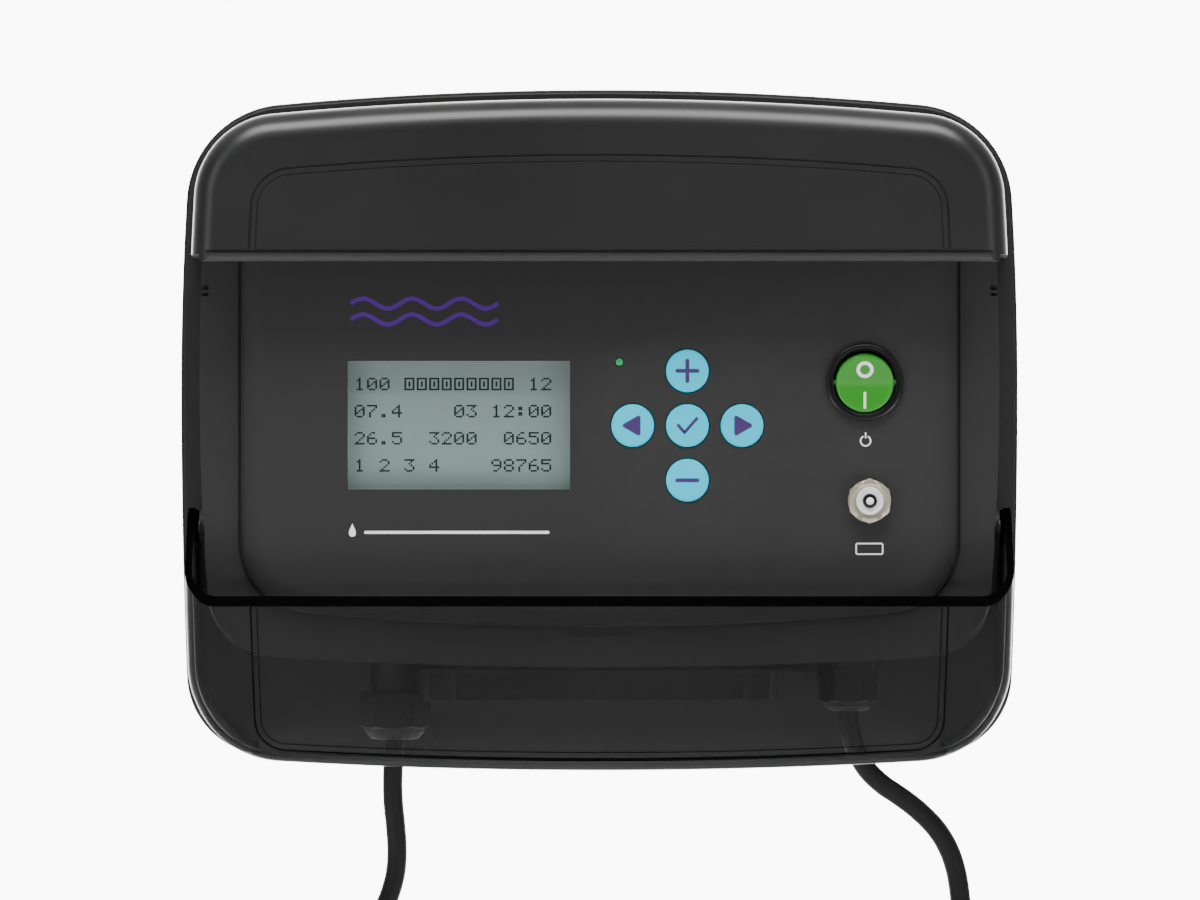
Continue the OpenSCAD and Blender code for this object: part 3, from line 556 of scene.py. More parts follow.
facia_line = facia_outline()
facia = lofted("facia", [ring(facia_line, i, d) for i, d in (
    (0.4, 91.1), (0, 91.3), (0, 93.6), (0.4, 94.6), (1.5, 95.6), (3.0, 96.5), (4.4, 97.2), (5.7, 97.7),
    (6.8, 97.94), (7.6, 98), (8, 98))])
carved(inner_case, [(np.vstack([ring(facia_line, -1.0, d) for d in (91, 93)]),
                     wrap_faces(2, len(facia_line[0])))])
dress(facia, facia_film)
lcd_x, lcd_z = -47.85, 1.65
light_x, light_z = 6.8, 23.1
key_spots = {"plus": (29.9, 20.1), "minus": (29.9, -17.1), "left": (11.3, 1.5), "right": (48.5, 1.5),
             "ok": (29.9, 1.5)}
carved(facia, [
    block_part((lcd_x - 41, lcd_x + 41), (91, 94.6), (lcd_z - 25, lcd_z + 25)),
    block_part((lcd_x - 37.85, lcd_x + 37.85), (90, 100), (lcd_z - 21.85, lcd_z + 21.85)),
    rod_part(light_x, light_z, 1.55, 90, 100), rod_part(switch_x, switch_z, switch_hole, 90, 100),
    rod_part(breaker_x, breaker_z, breaker_hole, 90, 100)]
    + [rod_part(x, z, 8.9, 90, 94.6) for x, z in key_spots.values()]
    + [rod_part(x, z, 7.6, 90, 100, 72) for x, z in key_spots.values()])
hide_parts("facia_plate")

# ---- Cap -----------------------------------------------------------------------------------------
# The top cover is fixed: a thin moulding with a round front edge, a bead between two grooves round its panel,
# and a lip below that is open at both ends, where the arms of the swinging cover pass.
front_depth = 118


def front_rings(front_in, panel):
    """Rings of the skin, from inside to outside: straight sides with draft, a quarter-round front edge whose
    radius shrinks towards the underside, the flat front, and the panel's bead between its two grooves."""
    edge, low_edge, thick = 10, 3.4, 2.4
    line = box_outline(half_wide, top_z, 118.8, top_corner, 36.8)
    down = np.clip((-line[1][:, 1] - 0.35) / 0.55, 0, 1)
    r = edge + (low_edge - edge) * down ** 2 * (3 - 2 * down)
    turns = np.radians(np.linspace(0, 90, 10))
    inside = [ring(line, front_in + thick + (r - thick * 0.7) * (1 - np.cos(a)),
                   front_depth - r + (r - thick * 0.7) * np.sin(a) - thick * 0.3) for a in turns[::-1]]
    outside = [ring(line, front_in + r * (1 - np.cos(a)), front_depth - r + r * np.sin(a)) for a in turns]
    grooves = [(-0.4, 0), (0, 0), (0.18, 0.5), (0.62, 0.5), (0.8, 0), (1.0, 0), (2.3, 0), (2.42, 0.28),
               (2.68, 0.28), (2.8, 0), (3.2, 0)]
    foot = [ring(line, 3.4 + thick, flange), ring(line, 3.8, flange), ring(line, 3.4, flange + 0.4)]
    return (inside + foot + outside + [ring(line, front_in + r + 0.3, front_depth)]
            + [ring(panel, i, front_depth - d) for i, d in grooves])


def side_cut(profile):
    """A block with the given side view [depth, z], right across the box."""
    p = np.asarray(profile, float)
    return stacked([np.column_stack([np.full(len(p), x), -p[:, 0], p[:, 1]]) for x in (-160, 160)])


cap = lofted("cap", front_rings(5.9, box_outline(119.6, 93.1, 111.6, 14, 14)))
dress(cap, cap_plastic)
carved(cap, [side_cut([(40, 59.3), (115, 59.3), (115.05, 57.3), (115.5, 56.8), (116.3, 56.9), (116.9, 57.5),
                       (117.2, 58.3), (117.35, 59.9), (116.7, 60.1), (116.7, 60.6), (117.7, 60.75),
                       (118.4, 61), (130, 61), (130, -140), (40, -140)])])
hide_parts("top_cap")

# ---- Smoked cover --------------------------------------------------------------------------------
# The lower cover is see-through smoked polycarbonate. It covers the leads and swings up on two short pins, in
# the round ends of its side arms; its front edge is thick and black when seen from its end.
def smoked(name, tint, low, high, rough):
    """A dark glossy plastic that lets light straight through: it is denser at a glancing angle, and round the
    front's sides and underside, where a straight line passes through more of it."""
    mat, links, skin = plain_material(name, tint, rough)
    skin.inputs["Specular IOR Level"].default_value = 0.1
    glance = node(mat.node_tree, "ShaderNodeLayerWeight", Blend=0.35)
    haze = placed(mat, grain_group, Scale=900.0)
    place = node(mat.node_tree, "ShaderNodeTexCoord").outputs["Object"]
    apart = node(mat.node_tree, "ShaderNodeSeparateXYZ", [(place, "Vector")]).outputs
    side = node(mat.node_tree, "ShaderNodeMath", [(apart["X"], 0)], operation="ABSOLUTE").outputs[0]
    at_side = ramp(mat.node_tree, side, 0.134, 0.139)
    below = ramp(mat.node_tree, apart["Z"], -0.108, -0.112)
    forward = ramp(mat.node_tree, apart["Y"], -0.1, -0.106)
    edge = node(mat.node_tree, "ShaderNodeMath", [(at_side, 0), (below, 1)], operation="MAXIMUM").outputs[0]
    rim = node(mat.node_tree, "ShaderNodeMath", [(edge, 0), (forward, 1)], operation="MULTIPLY").outputs[0]
    clear = mixed(mat, glance.outputs["Facing"], low, high)
    rim_alpha = 0.985
    links.new(mixed(mat, rim, clear, rim_alpha), skin.inputs["Alpha"])
    links.new(mixed(mat, haze["Patches"], rough - 0.02, rough + 0.03), skin.inputs["Roughness"])
    links.new(mixed(mat, haze["Patches"], np.array(tint) * 0.9, np.array(tint) * 1.1, "RGBA"),
              skin.inputs["Base Color"])
    bumped(mat, skin, haze["Height"], 0.003, 0.00001)
    return mat


smoke = smoked("smoked_plastic", (0.024, 0.024, 0.0246), 0.25, 0.93, 0.24)
# Near-black smoked plastic for the cut edges and the knuckles, seen through much of it, and painted shade in
# the panel's two grooves.
smoke_edge_and_groove_shade = moulded("smoked_edge_and_groove_shade", (0.0015, 0.0015, 0.0015), 0.6, grain=0.03, dust=0, wear=0, shine=0)
knuckle = np.radians(np.arange(180, 55, -6))
arm = hinge_depth + 6.3 * np.cos(knuckle), hinge_z + 6.3 * np.sin(knuckle)
slope = smooth_line([(arm[0][-1], arm[1][-1], 0), (80, -29.2, 0), (90, -35.4, 0), (100, -42.4, 0),
                     (106.5, -47.4, 0), (111, -51.2, 0), (114.4, -54.6, 0), (117, -58.2, 0),
                     (118.3, -60, 0)], 1)[1:, :2]
cover_view = np.vstack([[(54.2, -33)], np.stack(arm, 1), slope, [(130, -60), (130, -140), (54.2, -140)]])
cover = lofted("cover", front_rings(3.8, box_outline(119.2, 93.1, 111.4, 14, 11)), body="cover")
dress(cover, smoke)
cover.data.materials.append(smoke_edge_and_groove_shade)
sides = len(rim_line[0])
# Painted shade: the bottoms of the panel's two grooves get the near-black plastic, so that they show as dark
# lines.
groove_shade_strips = (26, 31)
for k in groove_shade_strips:
    for face in cover.data.polygons[k * sides:(k + 1) * sides]:
        face.material_index = 1
carved(cover, [side_cut(cover_view)], "INTERSECT", smoke_edge_and_groove_shade)
carved(cover, [bar_part(hinge_depth, hinge_z, 5.7, s * 137.7, s * 141.2) for s in (-1, 1)], "UNION",
       smoke_edge_and_groove_shade)
carved(cover, [bar_part(hinge_depth, hinge_z, 2.55, -150, 150),
               block_part((-118, 118), (40, 101), (-130, -90))], mat=smoke_edge_and_groove_shade)
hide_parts("smoked_cover")

# ---- Display -------------------------------------------------------------------------------------
# A grey-green liquid crystal display sits behind a clear window; it shows figures and bars in four lines of
# sixteen places, each five dots wide and seven high.
def joined(parts):
    """Several closed parts as the points and faces of one mesh."""
    verts, faces, count = [], [], 0
    for v, f in parts:
        verts.append(np.asarray(v).reshape(-1, 3))
        faces += [[i + count for i in face] for face in f]
        count += len(verts[-1])
    return np.vstack(verts), faces


lens_clear, links, skin = plain_material("window_clear", (0.12, 0.14, 0.13), 0.06)
skin.inputs["IOR"].default_value = 1.49
glance = node(lens_clear.node_tree, "ShaderNodeLayerWeight", Blend=0.3)
links.new(mixed(lens_clear, glance.outputs["Facing"], 0.05, 0.6), skin.inputs["Alpha"])
smears = placed(lens_clear, grain_group, Scale=700.0)
links.new(mixed(lens_clear, smears["Patches"], 0.04, 0.12), skin.inputs["Roughness"])
dress("lcd_lens", lens_clear)

crystal, links, skin = plain_material("display_glass", (0.24, 0.32, 0.3), 0.3)
skin.inputs["Emission Strength"].default_value = 0.1
film = placed(crystal, grain_group, Scale=1800.0)
spot = node(crystal.node_tree, "ShaderNodeTexCoord").outputs["Object"]
rise = node(crystal.node_tree, "ShaderNodeSeparateXYZ", [(spot, "Vector")])
# Painted shade: the crystal is darker towards the top of the window and lighter towards its foot, and its
# glow follows the same tone.
fade = ramp(crystal.node_tree, rise.outputs["Z"], 0.0235, -0.0202)
tone = mixed(crystal, fade, (0.2, 0.26, 0.25), (0.235, 0.335, 0.31), "RGBA")
tone = mixed(crystal, film["Patches"], tone, (0.21, 0.3, 0.28), "RGBA")
links.new(tone, skin.inputs["Base Color"])
links.new(tone, skin.inputs["Emission Color"])
links.new(mixed(crystal, film["Height"], 0.25, 0.4), skin.inputs["Roughness"])
dress("lcd_glass", crystal)

FIGURES = {
    "0": "01110 10001 10011 10101 11001 10001 01110", "1": "00100 01100 00100 00100 00100 00100 01110",
    "2": "01110 10001 00001 00010 00100 01000 11111", "3": "11111 00010 00100 00010 00001 10001 01110",
    "4": "00010 00110 01010 10010 11111 00010 00010", "5": "11111 10000 11110 00001 00001 10001 01110",
    "6": "00110 01000 10000 11110 10001 10001 01110", "7": "11111 00001 00010 00100 01000 01000 01000",
    "8": "01110 10001 10001 01110 10001 10001 01110", "9": "01110 10001 10001 01111 00001 00010 01100",
    ":": "00000 01100 01100 00000 01100 01100 00000", ".": "00000 00000 00000 00000 00000 01100 01100",
    "|": "11111 10001 10101 10101 10101 10001 11111", " ": "00000 00000 00000 00000 00000 00000 00000"}
ROWS = ("100 ||||||||| 12", "07.4    03 12:00", "26.5  3200  0650", "1 2 3 4    98765")
lit = []
for r, row in enumerate(ROWS):
    for c, sign in enumerate(row):
        dots = np.array([[int(b) for b in line] for line in FIGURES[sign].split()])
        down, across = np.nonzero(dots)
        lit.append(np.stack([lcd_x - 35.3 + 4.24 * c + 0.7 * across, lcd_z + 15.9 - 9.25 * r - 0.62 * down],
                            1))
lit = np.vstack(lit)
corner = np.array([(-0.33, -0.3), (0.33, -0.3), (0.33, 0.3), (-0.33, 0.3)])
flat = lit[:, None] + corner[None]
dot_verts = np.concatenate([np.stack([flat[..., 0], np.full(flat.shape[:2], -d), flat[..., 1]], -1)
                            for d in (90.8, 90.84)], 1) / 1e3
dot_faces = np.array([[3, 2, 1, 0], [4, 5, 6, 7], [0, 1, 5, 4], [1, 2, 6, 5], [2, 3, 7, 6], [3, 0, 4, 7]])
dot_faces = (dot_faces[None] + 8 * np.arange(len(lit))[:, None, None]).reshape(-1, 4)
figures = mesh_piece("display_figures", dot_verts, dot_faces)
dark_dots = moulded("display_dots", (0.003, 0.008, 0.009), 0.6, grain=0.02, dust=0, wear=0, shine=0.1)
dress(figures, dark_dots)

# ---- Keys ----------------------------------------------------------------------------------------
# Five round keys of pale blue rubbery plastic stand just proud of the facia, each on a flange behind it, with
# a purple sign printed on its shallow crown.
def rounded(core, r, n=8):
    """Outline of a convex shape swept by a disc of radius r: at each corner of the core an arc from the
    normal of the edge before to the normal of the edge after."""
    core = np.asarray(core, float)
    points = []
    for i, p in enumerate(core):
        a, b = p - core[i - 1], core[(i + 1) % len(core)] - p
        first, last = np.arctan2(-a[0], a[1]), np.arctan2(-b[0], b[1])
        last += 2 * pi if last < first else 0
        t = np.linspace(first, last, n)
        points.append(p + r * np.stack([np.cos(t), np.sin(t)], 1))
    return np.vstack(points)


def print_part(x, z, shape, near, far):
    """A thin print: an outline about [x, z] between two depths."""
    shape = np.asarray(shape, float)
    return stacked([np.column_stack([x + shape[:, 0], np.full(len(shape), -d), z + shape[:, 1]])
                    for d in (near, far)])


def loop_part(x, z, r_in, r_out, near, far, first=0, last=360, n=64):
    """A flat ring, or a stretch of one between two angles."""
    whole = last - first >= 360
    a = np.radians(np.linspace(first, last, n, endpoint=not whole))
    rings = np.stack([np.stack([x + r * np.cos(a), np.full(n, -d), z + r * np.sin(a)], 1)
                      for r, d in ((r_in, near), (r_out, near), (r_out, far), (r_in, far))])
    if whole:
        return rings.reshape(-1, 3) / 1e3, wrap_faces(4, n, "loop")
    return rings.transpose(1, 0, 2).reshape(-1, 3) / 1e3, wrap_faces(n, 4)


key_plastic = moulded("key_plastic", (0.0, 0.46, 0.66), 0.5, grain=0.1, scale=1800.0, dust=0, wear=0,
                      shine=0.1)
sign_ink = moulded("sign_ink", (0.028, 0.004, 0.085), 0.6, grain=0.1, dust=0, wear=0.05)
key_shape = [(2.5, 88.3), (2.5, 92.6), (2.9, 93), (8.4, 93), (8.5, 93.1), (8.5, 94.3), (8.4, 94.4),
             (7.3, 94.4), (7.3, 98.15), (7.2, 98.4), (6.95, 98.55), (6.5, 98.62), (5.8, 98.66), (4.5, 98.7),
             (2.5, 98.73), (0.5, 98.74)]
bar_sign = rounded([(-3.45, 0), (3.45, 0)], 0.65)
arrow_sign = rounded([(-2.75, 0), (2.0, -2.7), (2.0, 2.7)], 0.65)
signs = {
    "plus": [bar_sign,
             np.array([(-0.65, 0.65), (0.65, 0.65), (0.65, 3.55), (0.36, 4.05), (-0.36, 4.05),
                       (-0.65, 3.55)]),
             np.array([(-0.65, -0.65), (-0.65, -3.55), (-0.36, -4.05), (0.36, -4.05), (0.65, -3.55),
                       (0.65, -0.65)])],
    "minus": [bar_sign],
    "left": [arrow_sign],
    "right": [arrow_sign * [-1, 1]],
    "ok": [rounded([(-3.1, 0.1), (-1.3, -2)], 0.5), rounded([(-0.95, -2.35), (3.2, 2.4)], 0.5)]}
for key, (x, z) in key_spots.items():
    cap_piece = mesh_piece("key_" + key + "_cap", *turned(x, z, key_shape), body=key)
    dress(cap_piece, key_plastic)
    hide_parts("key_" + key)
    sign = mesh_piece("key_" + key + "_sign", *joined([print_part(x, z, s, 98.6, 98.79) for s in signs[key]]),
                      body=key)
    dress(sign, sign_ink)

# ---- Status light --------------------------------------------------------------------------------
# A small green light pipe carries the light of a diode on the display board to the facia.
pipe, links, skin = plain_material("light_green", (0.02, 0.5, 0.16), 0.25)
skin.inputs["Emission Strength"].default_value = 0.12
glint = placed(pipe, grain_group, Scale=900.0)
tone = mixed(pipe, glint["Patches"], (0.004, 0.2, 0.06), (0.008, 0.26, 0.08), "RGBA")
links.new(tone, skin.inputs["Base Color"])
links.new(tone, skin.inputs["Emission Color"])
light = mesh_piece("status_lens", *turned(light_x, light_z,
                                          [(1.5, 88), (1.5, 90.6), (2.6, 90.6), (2.6, 91.9), (1.25, 91.9),
                   (1.25, 98), (1.15, 98.2), (0.8, 98.38), (0.3, 98.45)], 40))
dress(light, pipe)
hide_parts("light_pipe")

# ---- Prints on the facia -------------------------------------------------------------------------
# Screen-printed signs: a plain water mark, a droplet on a rule, and the usual signs for power and for a fuse.
white_ink = moulded("white_ink", (0.75, 0.75, 0.75), 0.5, grain=0.1, dust=0, wear=0)
purple_ink = moulded("purple_ink", (0.055, 0.008, 0.17), 0.6, grain=0.1, dust=0, wear=0, shine=0.2)


def wave_part(x, z, width, height, stroke, near, far, n=96):
    """A stroke of even width along a sine wave."""
    t = np.linspace(0, 1, n)
    mid = np.stack([x + width * (t - 0.5), z + height * np.sin(6 * pi * t)], 1)
    way = np.gradient(mid, axis=0)
    way /= np.linalg.norm(way, axis=1)[:, None]
    side = np.stack([-way[:, 1], way[:, 0]], 1) * stroke / 2
    rows = np.stack([np.column_stack([(mid + s * side)[:, 0], np.full(n, -d), (mid + s * side)[:, 1]])
                     for s, d in ((-1, near), (1, near), (1, far), (-1, far))])
    return rows.transpose(1, 0, 2).reshape(-1, 3) / 1e3, wrap_faces(n, 4)


near, far = 97.95, 98.04
water = mesh_piece("water_mark", *joined([wave_part(-59.5, z, 50, 1.7, 1.5, near, far) for z in (43, 37.6)]))
dress(water, purple_ink)
turn = np.linspace(0, 2 * pi, 40, endpoint=False)
drop = np.stack([1.7 * np.sin(turn) * np.sin(turn / 2) ** 1.6, 2.3 * np.cos(turn)], 1)
fuse_bar, fuse_end = rounded([(-4.2, 0), (4.2, 0)], 0.25), rounded([(0, -1.5), (0, 1.5)], 0.25)
prints = mesh_piece("white_prints", *joined(
    [loop_part(90.5, -3.7, 1.45, 1.95, near, far, 115, 425)]
    + [print_part(x, z, shape, near, far) for x, z, shape in (
        (-84, -34, drop[::-1]), (-48.5, -34.8, rounded([(-31, 0), (31, 0)], 0.5)),
        (90.5, -2.6, rounded([(0, 0), (0, 1.6)], 0.25)), (91.8, -38.6, fuse_bar), (91.8, -42.2, fuse_bar),
        (87.3, -40.4, fuse_end), (96.3, -40.4, fuse_end))]))
dress(prints, white_ink)

# ---- Switch --------------------------------------------------------------------------------------
# A round panel switch: a glossy black bezel with a turned lip, and a green button that rocks in it, dished
# along its middle and marked with a ring and a bar.
gloss_black = moulded("gloss_black", (0.0045, 0.0042, 0.005), 0.3, grain=0.04, dust=0.02, wear=0, shine=0.2)
rocker_green = moulded("rocker_green", (0.015, 0.2, 0.008), 0.3, grain=0.05, dust=0.05, wear=0.05, shine=0.4)
switch_case = mesh_piece("switch_case", *turned(switch_x, switch_z, [
    (11.8, 76), (11.8, 98), (13, 98), (13.1, 98.15), (13.1, 99.2), (12.95, 99.6), (12.5, 99.9), (11.9, 100),
    (11.5, 99.85), (11.25, 99.5), (11.1, 99.2), (10.75, 99.05), (10.6, 98.7), (10.6, 84)], 96))
dress(switch_case, gloss_black)
carved(switch_case, [bar_part(97, switch_z, 1.1, switch_x - 11.5, switch_x + 11.5)])
carved(switch_case, [block_part((switch_x + x - 0.4, switch_x + x + 0.4), (69, 76.5),
                                (switch_z + z - 2.4, switch_z + z + 2.4)) for x in (-5, 5) for z in (-5, 5)],
                                "UNION")
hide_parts("switch_body")


def on_rocker(points, lift):
    """Puts points [x, z] of the button on its face, lift above it: the face rises from 2.6 mm at the pivot
    as a hyperbola whose slopes are the lean's tangent, and all of it is turned about the pivot by it."""
    lean = radians(8)
    x, z = points[..., 0], points[..., 1]
    rise = 2.6 + np.tan(lean) * (np.sqrt(z ** 2 + 3) - 1.73) + lift
    y, z = -rise * np.cos(lean) - z * np.sin(lean), z * np.cos(lean) - rise * np.sin(lean)
    return np.stack([switch_x + x, y - 97, switch_z + z], -1) / 1e3


disc = np.stack(circle(96), 1)
rocker_rings = [on_rocker(disc * r, lift) for r, lift in (
    (9.2, -9), (9.9, -6), (9.93, -3), (9.93, -0.9), (9.85, -0.5), (9.65, -0.2), (9.35, -0.04), (9, 0),
    (7.8, 0), (6.4, 0), (5, 0), (3.6, 0), (2.2, 0), (1, 0), (0.2, 0))]
rocker = mesh_piece("rocker_button", *(np.vstack(rocker_rings), wrap_faces(len(rocker_rings), 96)),
                    body="rocker")
carved(rocker, [bar_part(97, switch_z, 1, switch_x - 11.3, switch_x + 11.3)], "UNION")
dress(rocker, rocker_green)
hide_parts("switch_rocker")
disc = np.stack(circle(64), 1)
ring_sign = np.vstack([on_rocker(disc * r + [0, 4.75], lift) for r, lift in (
    (1.7, -0.1), (2.9, -0.1), (2.9, 0.05), (1.7, 0.05))])
bar_rows = np.linspace(-8.5, -2.9, 12)
bar_sign = np.concatenate([on_rocker(np.stack([np.full(12, x), bar_rows], 1), lift)[:, None]
                           for x, lift in ((-0.42, -0.1), (0.42, -0.1), (0.42, 0.05), (-0.42, 0.05))], 1)
rocker_sign = mesh_piece("rocker_sign", *joined([(ring_sign, wrap_faces(4, 64, "loop")),
                                                 (bar_sign, wrap_faces(12, 4))]),
                         body="rocker")
dress(rocker_sign, white_ink)

# ---- Breaker -------------------------------------------------------------------------------------
# A thermal breaker is held in the facia by a threaded bushing, a washer and a chamfered nickel nut. Its reset
# button, black with a white tip, comes out when it trips.
def plated(name, colour, rough, metal, brush=0.1):
    """A plated metal: brushed very finely round its axis, with a duller bloom in patches."""
    mat, links, skin = plain_material(name, colour, rough)
    skin.inputs["Metallic"].default_value = metal
    texture = placed(mat, grain_group, Scale=3200.0)
    rubbed = placed(mat, wear_group)["Mask"]
    tone = mixed(mat, texture["Patches"], np.array(colour) * 0.88, np.array(colour), "RGBA")
    links.new(mixed(mat, rubbed, tone, np.minimum(np.array(colour) * 1.2, 1), "RGBA"),
              skin.inputs["Base Color"])
    links.new(mixed(mat, texture["Height"], rough - 0.06, rough + 0.1), skin.inputs["Roughness"])
    bumped(mat, skin, texture["Height"], brush, 0.00005)
    return mat


nickel = plated("nickel", (0.46, 0.42, 0.33), 0.32, 0.75)
bright_nickel = plated("bright_nickel", (0.85, 0.85, 0.84), 0.28, 0.35)
zinc = plated("zinc", (0.4, 0.42, 0.44), 0.4, 0.9)
steel = plated("plated_steel", (0.36, 0.36, 0.37), 0.36, 0.95)
aluminium = plated("aluminium", (0.7, 0.7, 0.72), 0.4, 0.95)
brass = plated("brass_pins", (0.75, 0.62, 0.32), 0.28, 0.95)

a = np.linspace(0, 2 * pi, 96, endpoint=False)
hexagon = 6.84 / np.cos((a + pi / 6) % (pi / 3) - pi / 6)
nut_rings = [np.stack([breaker_x + r * np.cos(a), np.full(96, -d), breaker_z + r * np.sin(a)], 1) / 1e3
             for r, d in ((np.full(96, 4.77), 98.8), (np.minimum(hexagon, 7.3), 98.8),
                          (np.minimum(hexagon, 7.75), 99.1),
                          (np.minimum(hexagon, 7.75), 101.2), (np.minimum(hexagon, 7.35), 101.6),
                          (np.minimum(hexagon, 6.7), 101.8), (np.full(96, 5.1), 101.8),
                          (np.full(96, 4.77), 101.6))]
nut = lofted("hex_nut", nut_rings, "loop")
dress(nut, nickel)
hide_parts("breaker_nut")
dress("breaker_washer", nickel)

thread = [(4.75 - 0.22 * (i % 2), 98 + 0.25 * i) for i in range(1, 18)]
bushing_rings = ([(2.37, 88), (4.75, 88), (4.75, 98)] + thread
                 + [(4.7, 102.7), (4.35, 103.1), (3.9, 103.2), (3.2, 103.2),
                 (2.55, 103.2), (2.37, 103)])
verts = turned(breaker_x, breaker_z, bushing_rings, 64)[0]
bushing = mesh_piece("breaker_bushing", verts, wrap_faces(len(bushing_rings), 64, "loop"))
dress(bushing, bright_nickel)
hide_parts("breaker_body")
breaker_case = mesh_piece("breaker_case", *block_part((83.8, 99.8), (60, 88.9), (-39.1, -9.1)))
carved(breaker_case, [rod_part(breaker_x, breaker_z, 4.2, 79, 90)])
carved(breaker_case, [block_part((88.8, 94.8), (52, 60.5), (z - 0.4, z + 0.4)) for z in (-33.1, -15.1)],
       "UNION")
dress(breaker_case, gloss_black)

button = mesh_piece("reset_stem", *turned(breaker_x, breaker_z, [
    (4, 80.5), (4, 82), (2.3, 82.2), (2.3, 103.9), (2.2, 104.1), (1.95, 104.2), (1.36, 104.2), (1.3, 104.1),
    (0.2, 104.1)], 48),
    body="reset")
dress(button, gloss_black)
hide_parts("reset_button")
tip = mesh_piece("reset_tip", *turned(breaker_x, breaker_z, [
    (1.28, 103.6), (1.28, 104.15), (1.15, 104.24), (0.9, 104.28), (0.2, 104.3)], 40), body="reset")
dress(tip, white_ink)

# ---- Glands --------------------------------------------------------------------------------------
# Each lead leaves through a nylon gland: a hexagon against the box, and a domed cap nut with fine ribs round
# it that squeezes a rubber seal on the sheath.
def upright(x, depth, profile, sides=72, flats=None, ribs=0, deep=0.0):
    """A solid turned about an upright axis: [radius, z, flag] rows, where flag 1 trims the circle to a
    hexagon of that many millimetres across flats, and flag 2 sinks its radius by a cosine wave of ribs."""
    a = np.linspace(0, 2 * pi, sides, endpoint=False)
    cos, sin = circle(sides)
    rings = []
    for r, z, flag in profile:
        r = np.full(sides, float(r))
        if flag == 1:
            r = np.minimum(r, flats / 2 / np.cos(a % (pi / 3) - pi / 6))
        if flag == 2:
            r = r - deep * (0.5 + 0.5 * np.cos(a * ribs)) ** 2
        rings.append(np.stack([x + r * cos, -depth + r * sin, np.full(sides, float(z))], 1))
    return stacked(rings)


for name, (x, depth), across, top, low, lip, bore, node_name in (
        ("cell_cap_nut", cell_at, 21, -94.5, -106, 7.6, 3.45, "cell_gland_nut"),
        ("mains_cap_nut", mains_at, 17.7, -85.5, -96.2, 6.2, 3.55, "mains_gland_nut")):
    r = across / 2
    rows = [(6, top, 0), (r * 1.1, top, 1), (r * 1.15, top - 0.4, 1), (r * 1.15, top - 6.9, 1),
            (r * 1.06, top - 7.4, 1),
            (r * 0.985, top - 7.8, 0), (r * 0.98, top - 8.6, 2), (r * 0.94, top - 9.4, 2),
            (r * 0.86, low + 1.2, 2),
            (lip + 0.6, low + 0.25, 0), (lip, low, 0), (bore + 0.9, low, 0), (bore, low + 0.7, 0),
            (bore, low + 5, 0),
            (6, low + 5.6, 0)]
    verts = upright(x, depth, rows, 144, across, 36, 0.35)[0]
    nut_piece = mesh_piece(name, verts, wrap_faces(len(rows), 144, "loop"))
    dress(nut_piece, nylon)
    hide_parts(node_name)
dress(["cell_gland", "mains_gland", "gland_locknuts"], nylon)

# ---- Plug, connector and ties --------------------------------------------------------------------
# The mains lead ends in a round moulded plug with a grooved sleeve, the cell's in a ribbed connector with two
# sockets. A nylon tie holds each coil at its top.
lead_end_black = moulded("lead_end_black", (0.01, 0.01, 0.0105), 0.5, grain=0.2, scale=1200.0, dust=0.15,
                         wear=0.1)


def sleeve(x, low, high, wide, bore):
    """A strain relief about the lead at x: its radius falls evenly from wide to 4.6 mm over its length, with
    five grooves 0.9 mm deep in it, and the lead goes 6 mm into its top."""
    rows = [(bore, high - 6, 0), (bore, high - 0.4, 0), (bore + 0.4, high, 0), (4.3, high, 0),
            (4.6, high - 0.4, 0)]
    for i in range(5):
        z = high - 3 - 3.2 * i
        r = 4.6 + (wide - 4.6) * (high - z) / (high - low)
        rows += [(r, z, 0), (r - 0.9, z - 0.3, 0), (r - 0.9, z - 1.2, 0), (r + 0.15, z - 1.5, 0)]
    return upright(x, at_back, rows + [(wide, low + 0.5, 0), (wide, low, 0)], 48)


plug = mesh_piece("plug", *turned(mains_end_x, -314, [
    (15.6, 56.2), (17.2, 56.4), (18.4, 57.1), (19, 58.4), (19, 63.4), (18.6, 63.8), (18.6, 66.6), (19, 67),
    (19, 72), (18.4, 73.4), (17.2, 74), (15.6, 74.2)], 96))
carved(plug, [sleeve(mains_end_x, -303, -276, 7.5, 3.55)], "UNION")
carved(plug, [block_part((s * 18.9 - 0.5, s * 18.9 + 0.5), (58, 72), (z - 0.5, z + 0.5))
              for s in (-1, 1) for z in (-318.5, -316.5, -314.5, -312.5, -310.5)])
dress(plug, lead_end_black)
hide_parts("mains_plug")
dress("plug_pins", brass)

rows = [(12.6, -328, 0), (14.4, -327.6, 0), (15, -326.6, 0), (15, -318, 0)]
rows += [(15, -317.5, 0)] + [(r, z, 2) for r, z in ((15, -317.2), (15, -297), (14.9, -294))]
rows += [(14.2, -292, 0), (12.6, -290, 0), (10, -288.5, 0), (8, -288, 0)]
connector = mesh_piece("connector", *upright(cell_end_x, at_back, rows, 144, ribs=24, deep=0.6))
carved(connector, [sleeve(cell_end_x, -290, -266, 8, 3.45)], "UNION")
carved(connector, [post_part(cell_end_x + s * 6.5, at_back, 3, -330, -306) for s in (-1, 1)])
dress(connector, lead_end_black)
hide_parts("cell_connector")

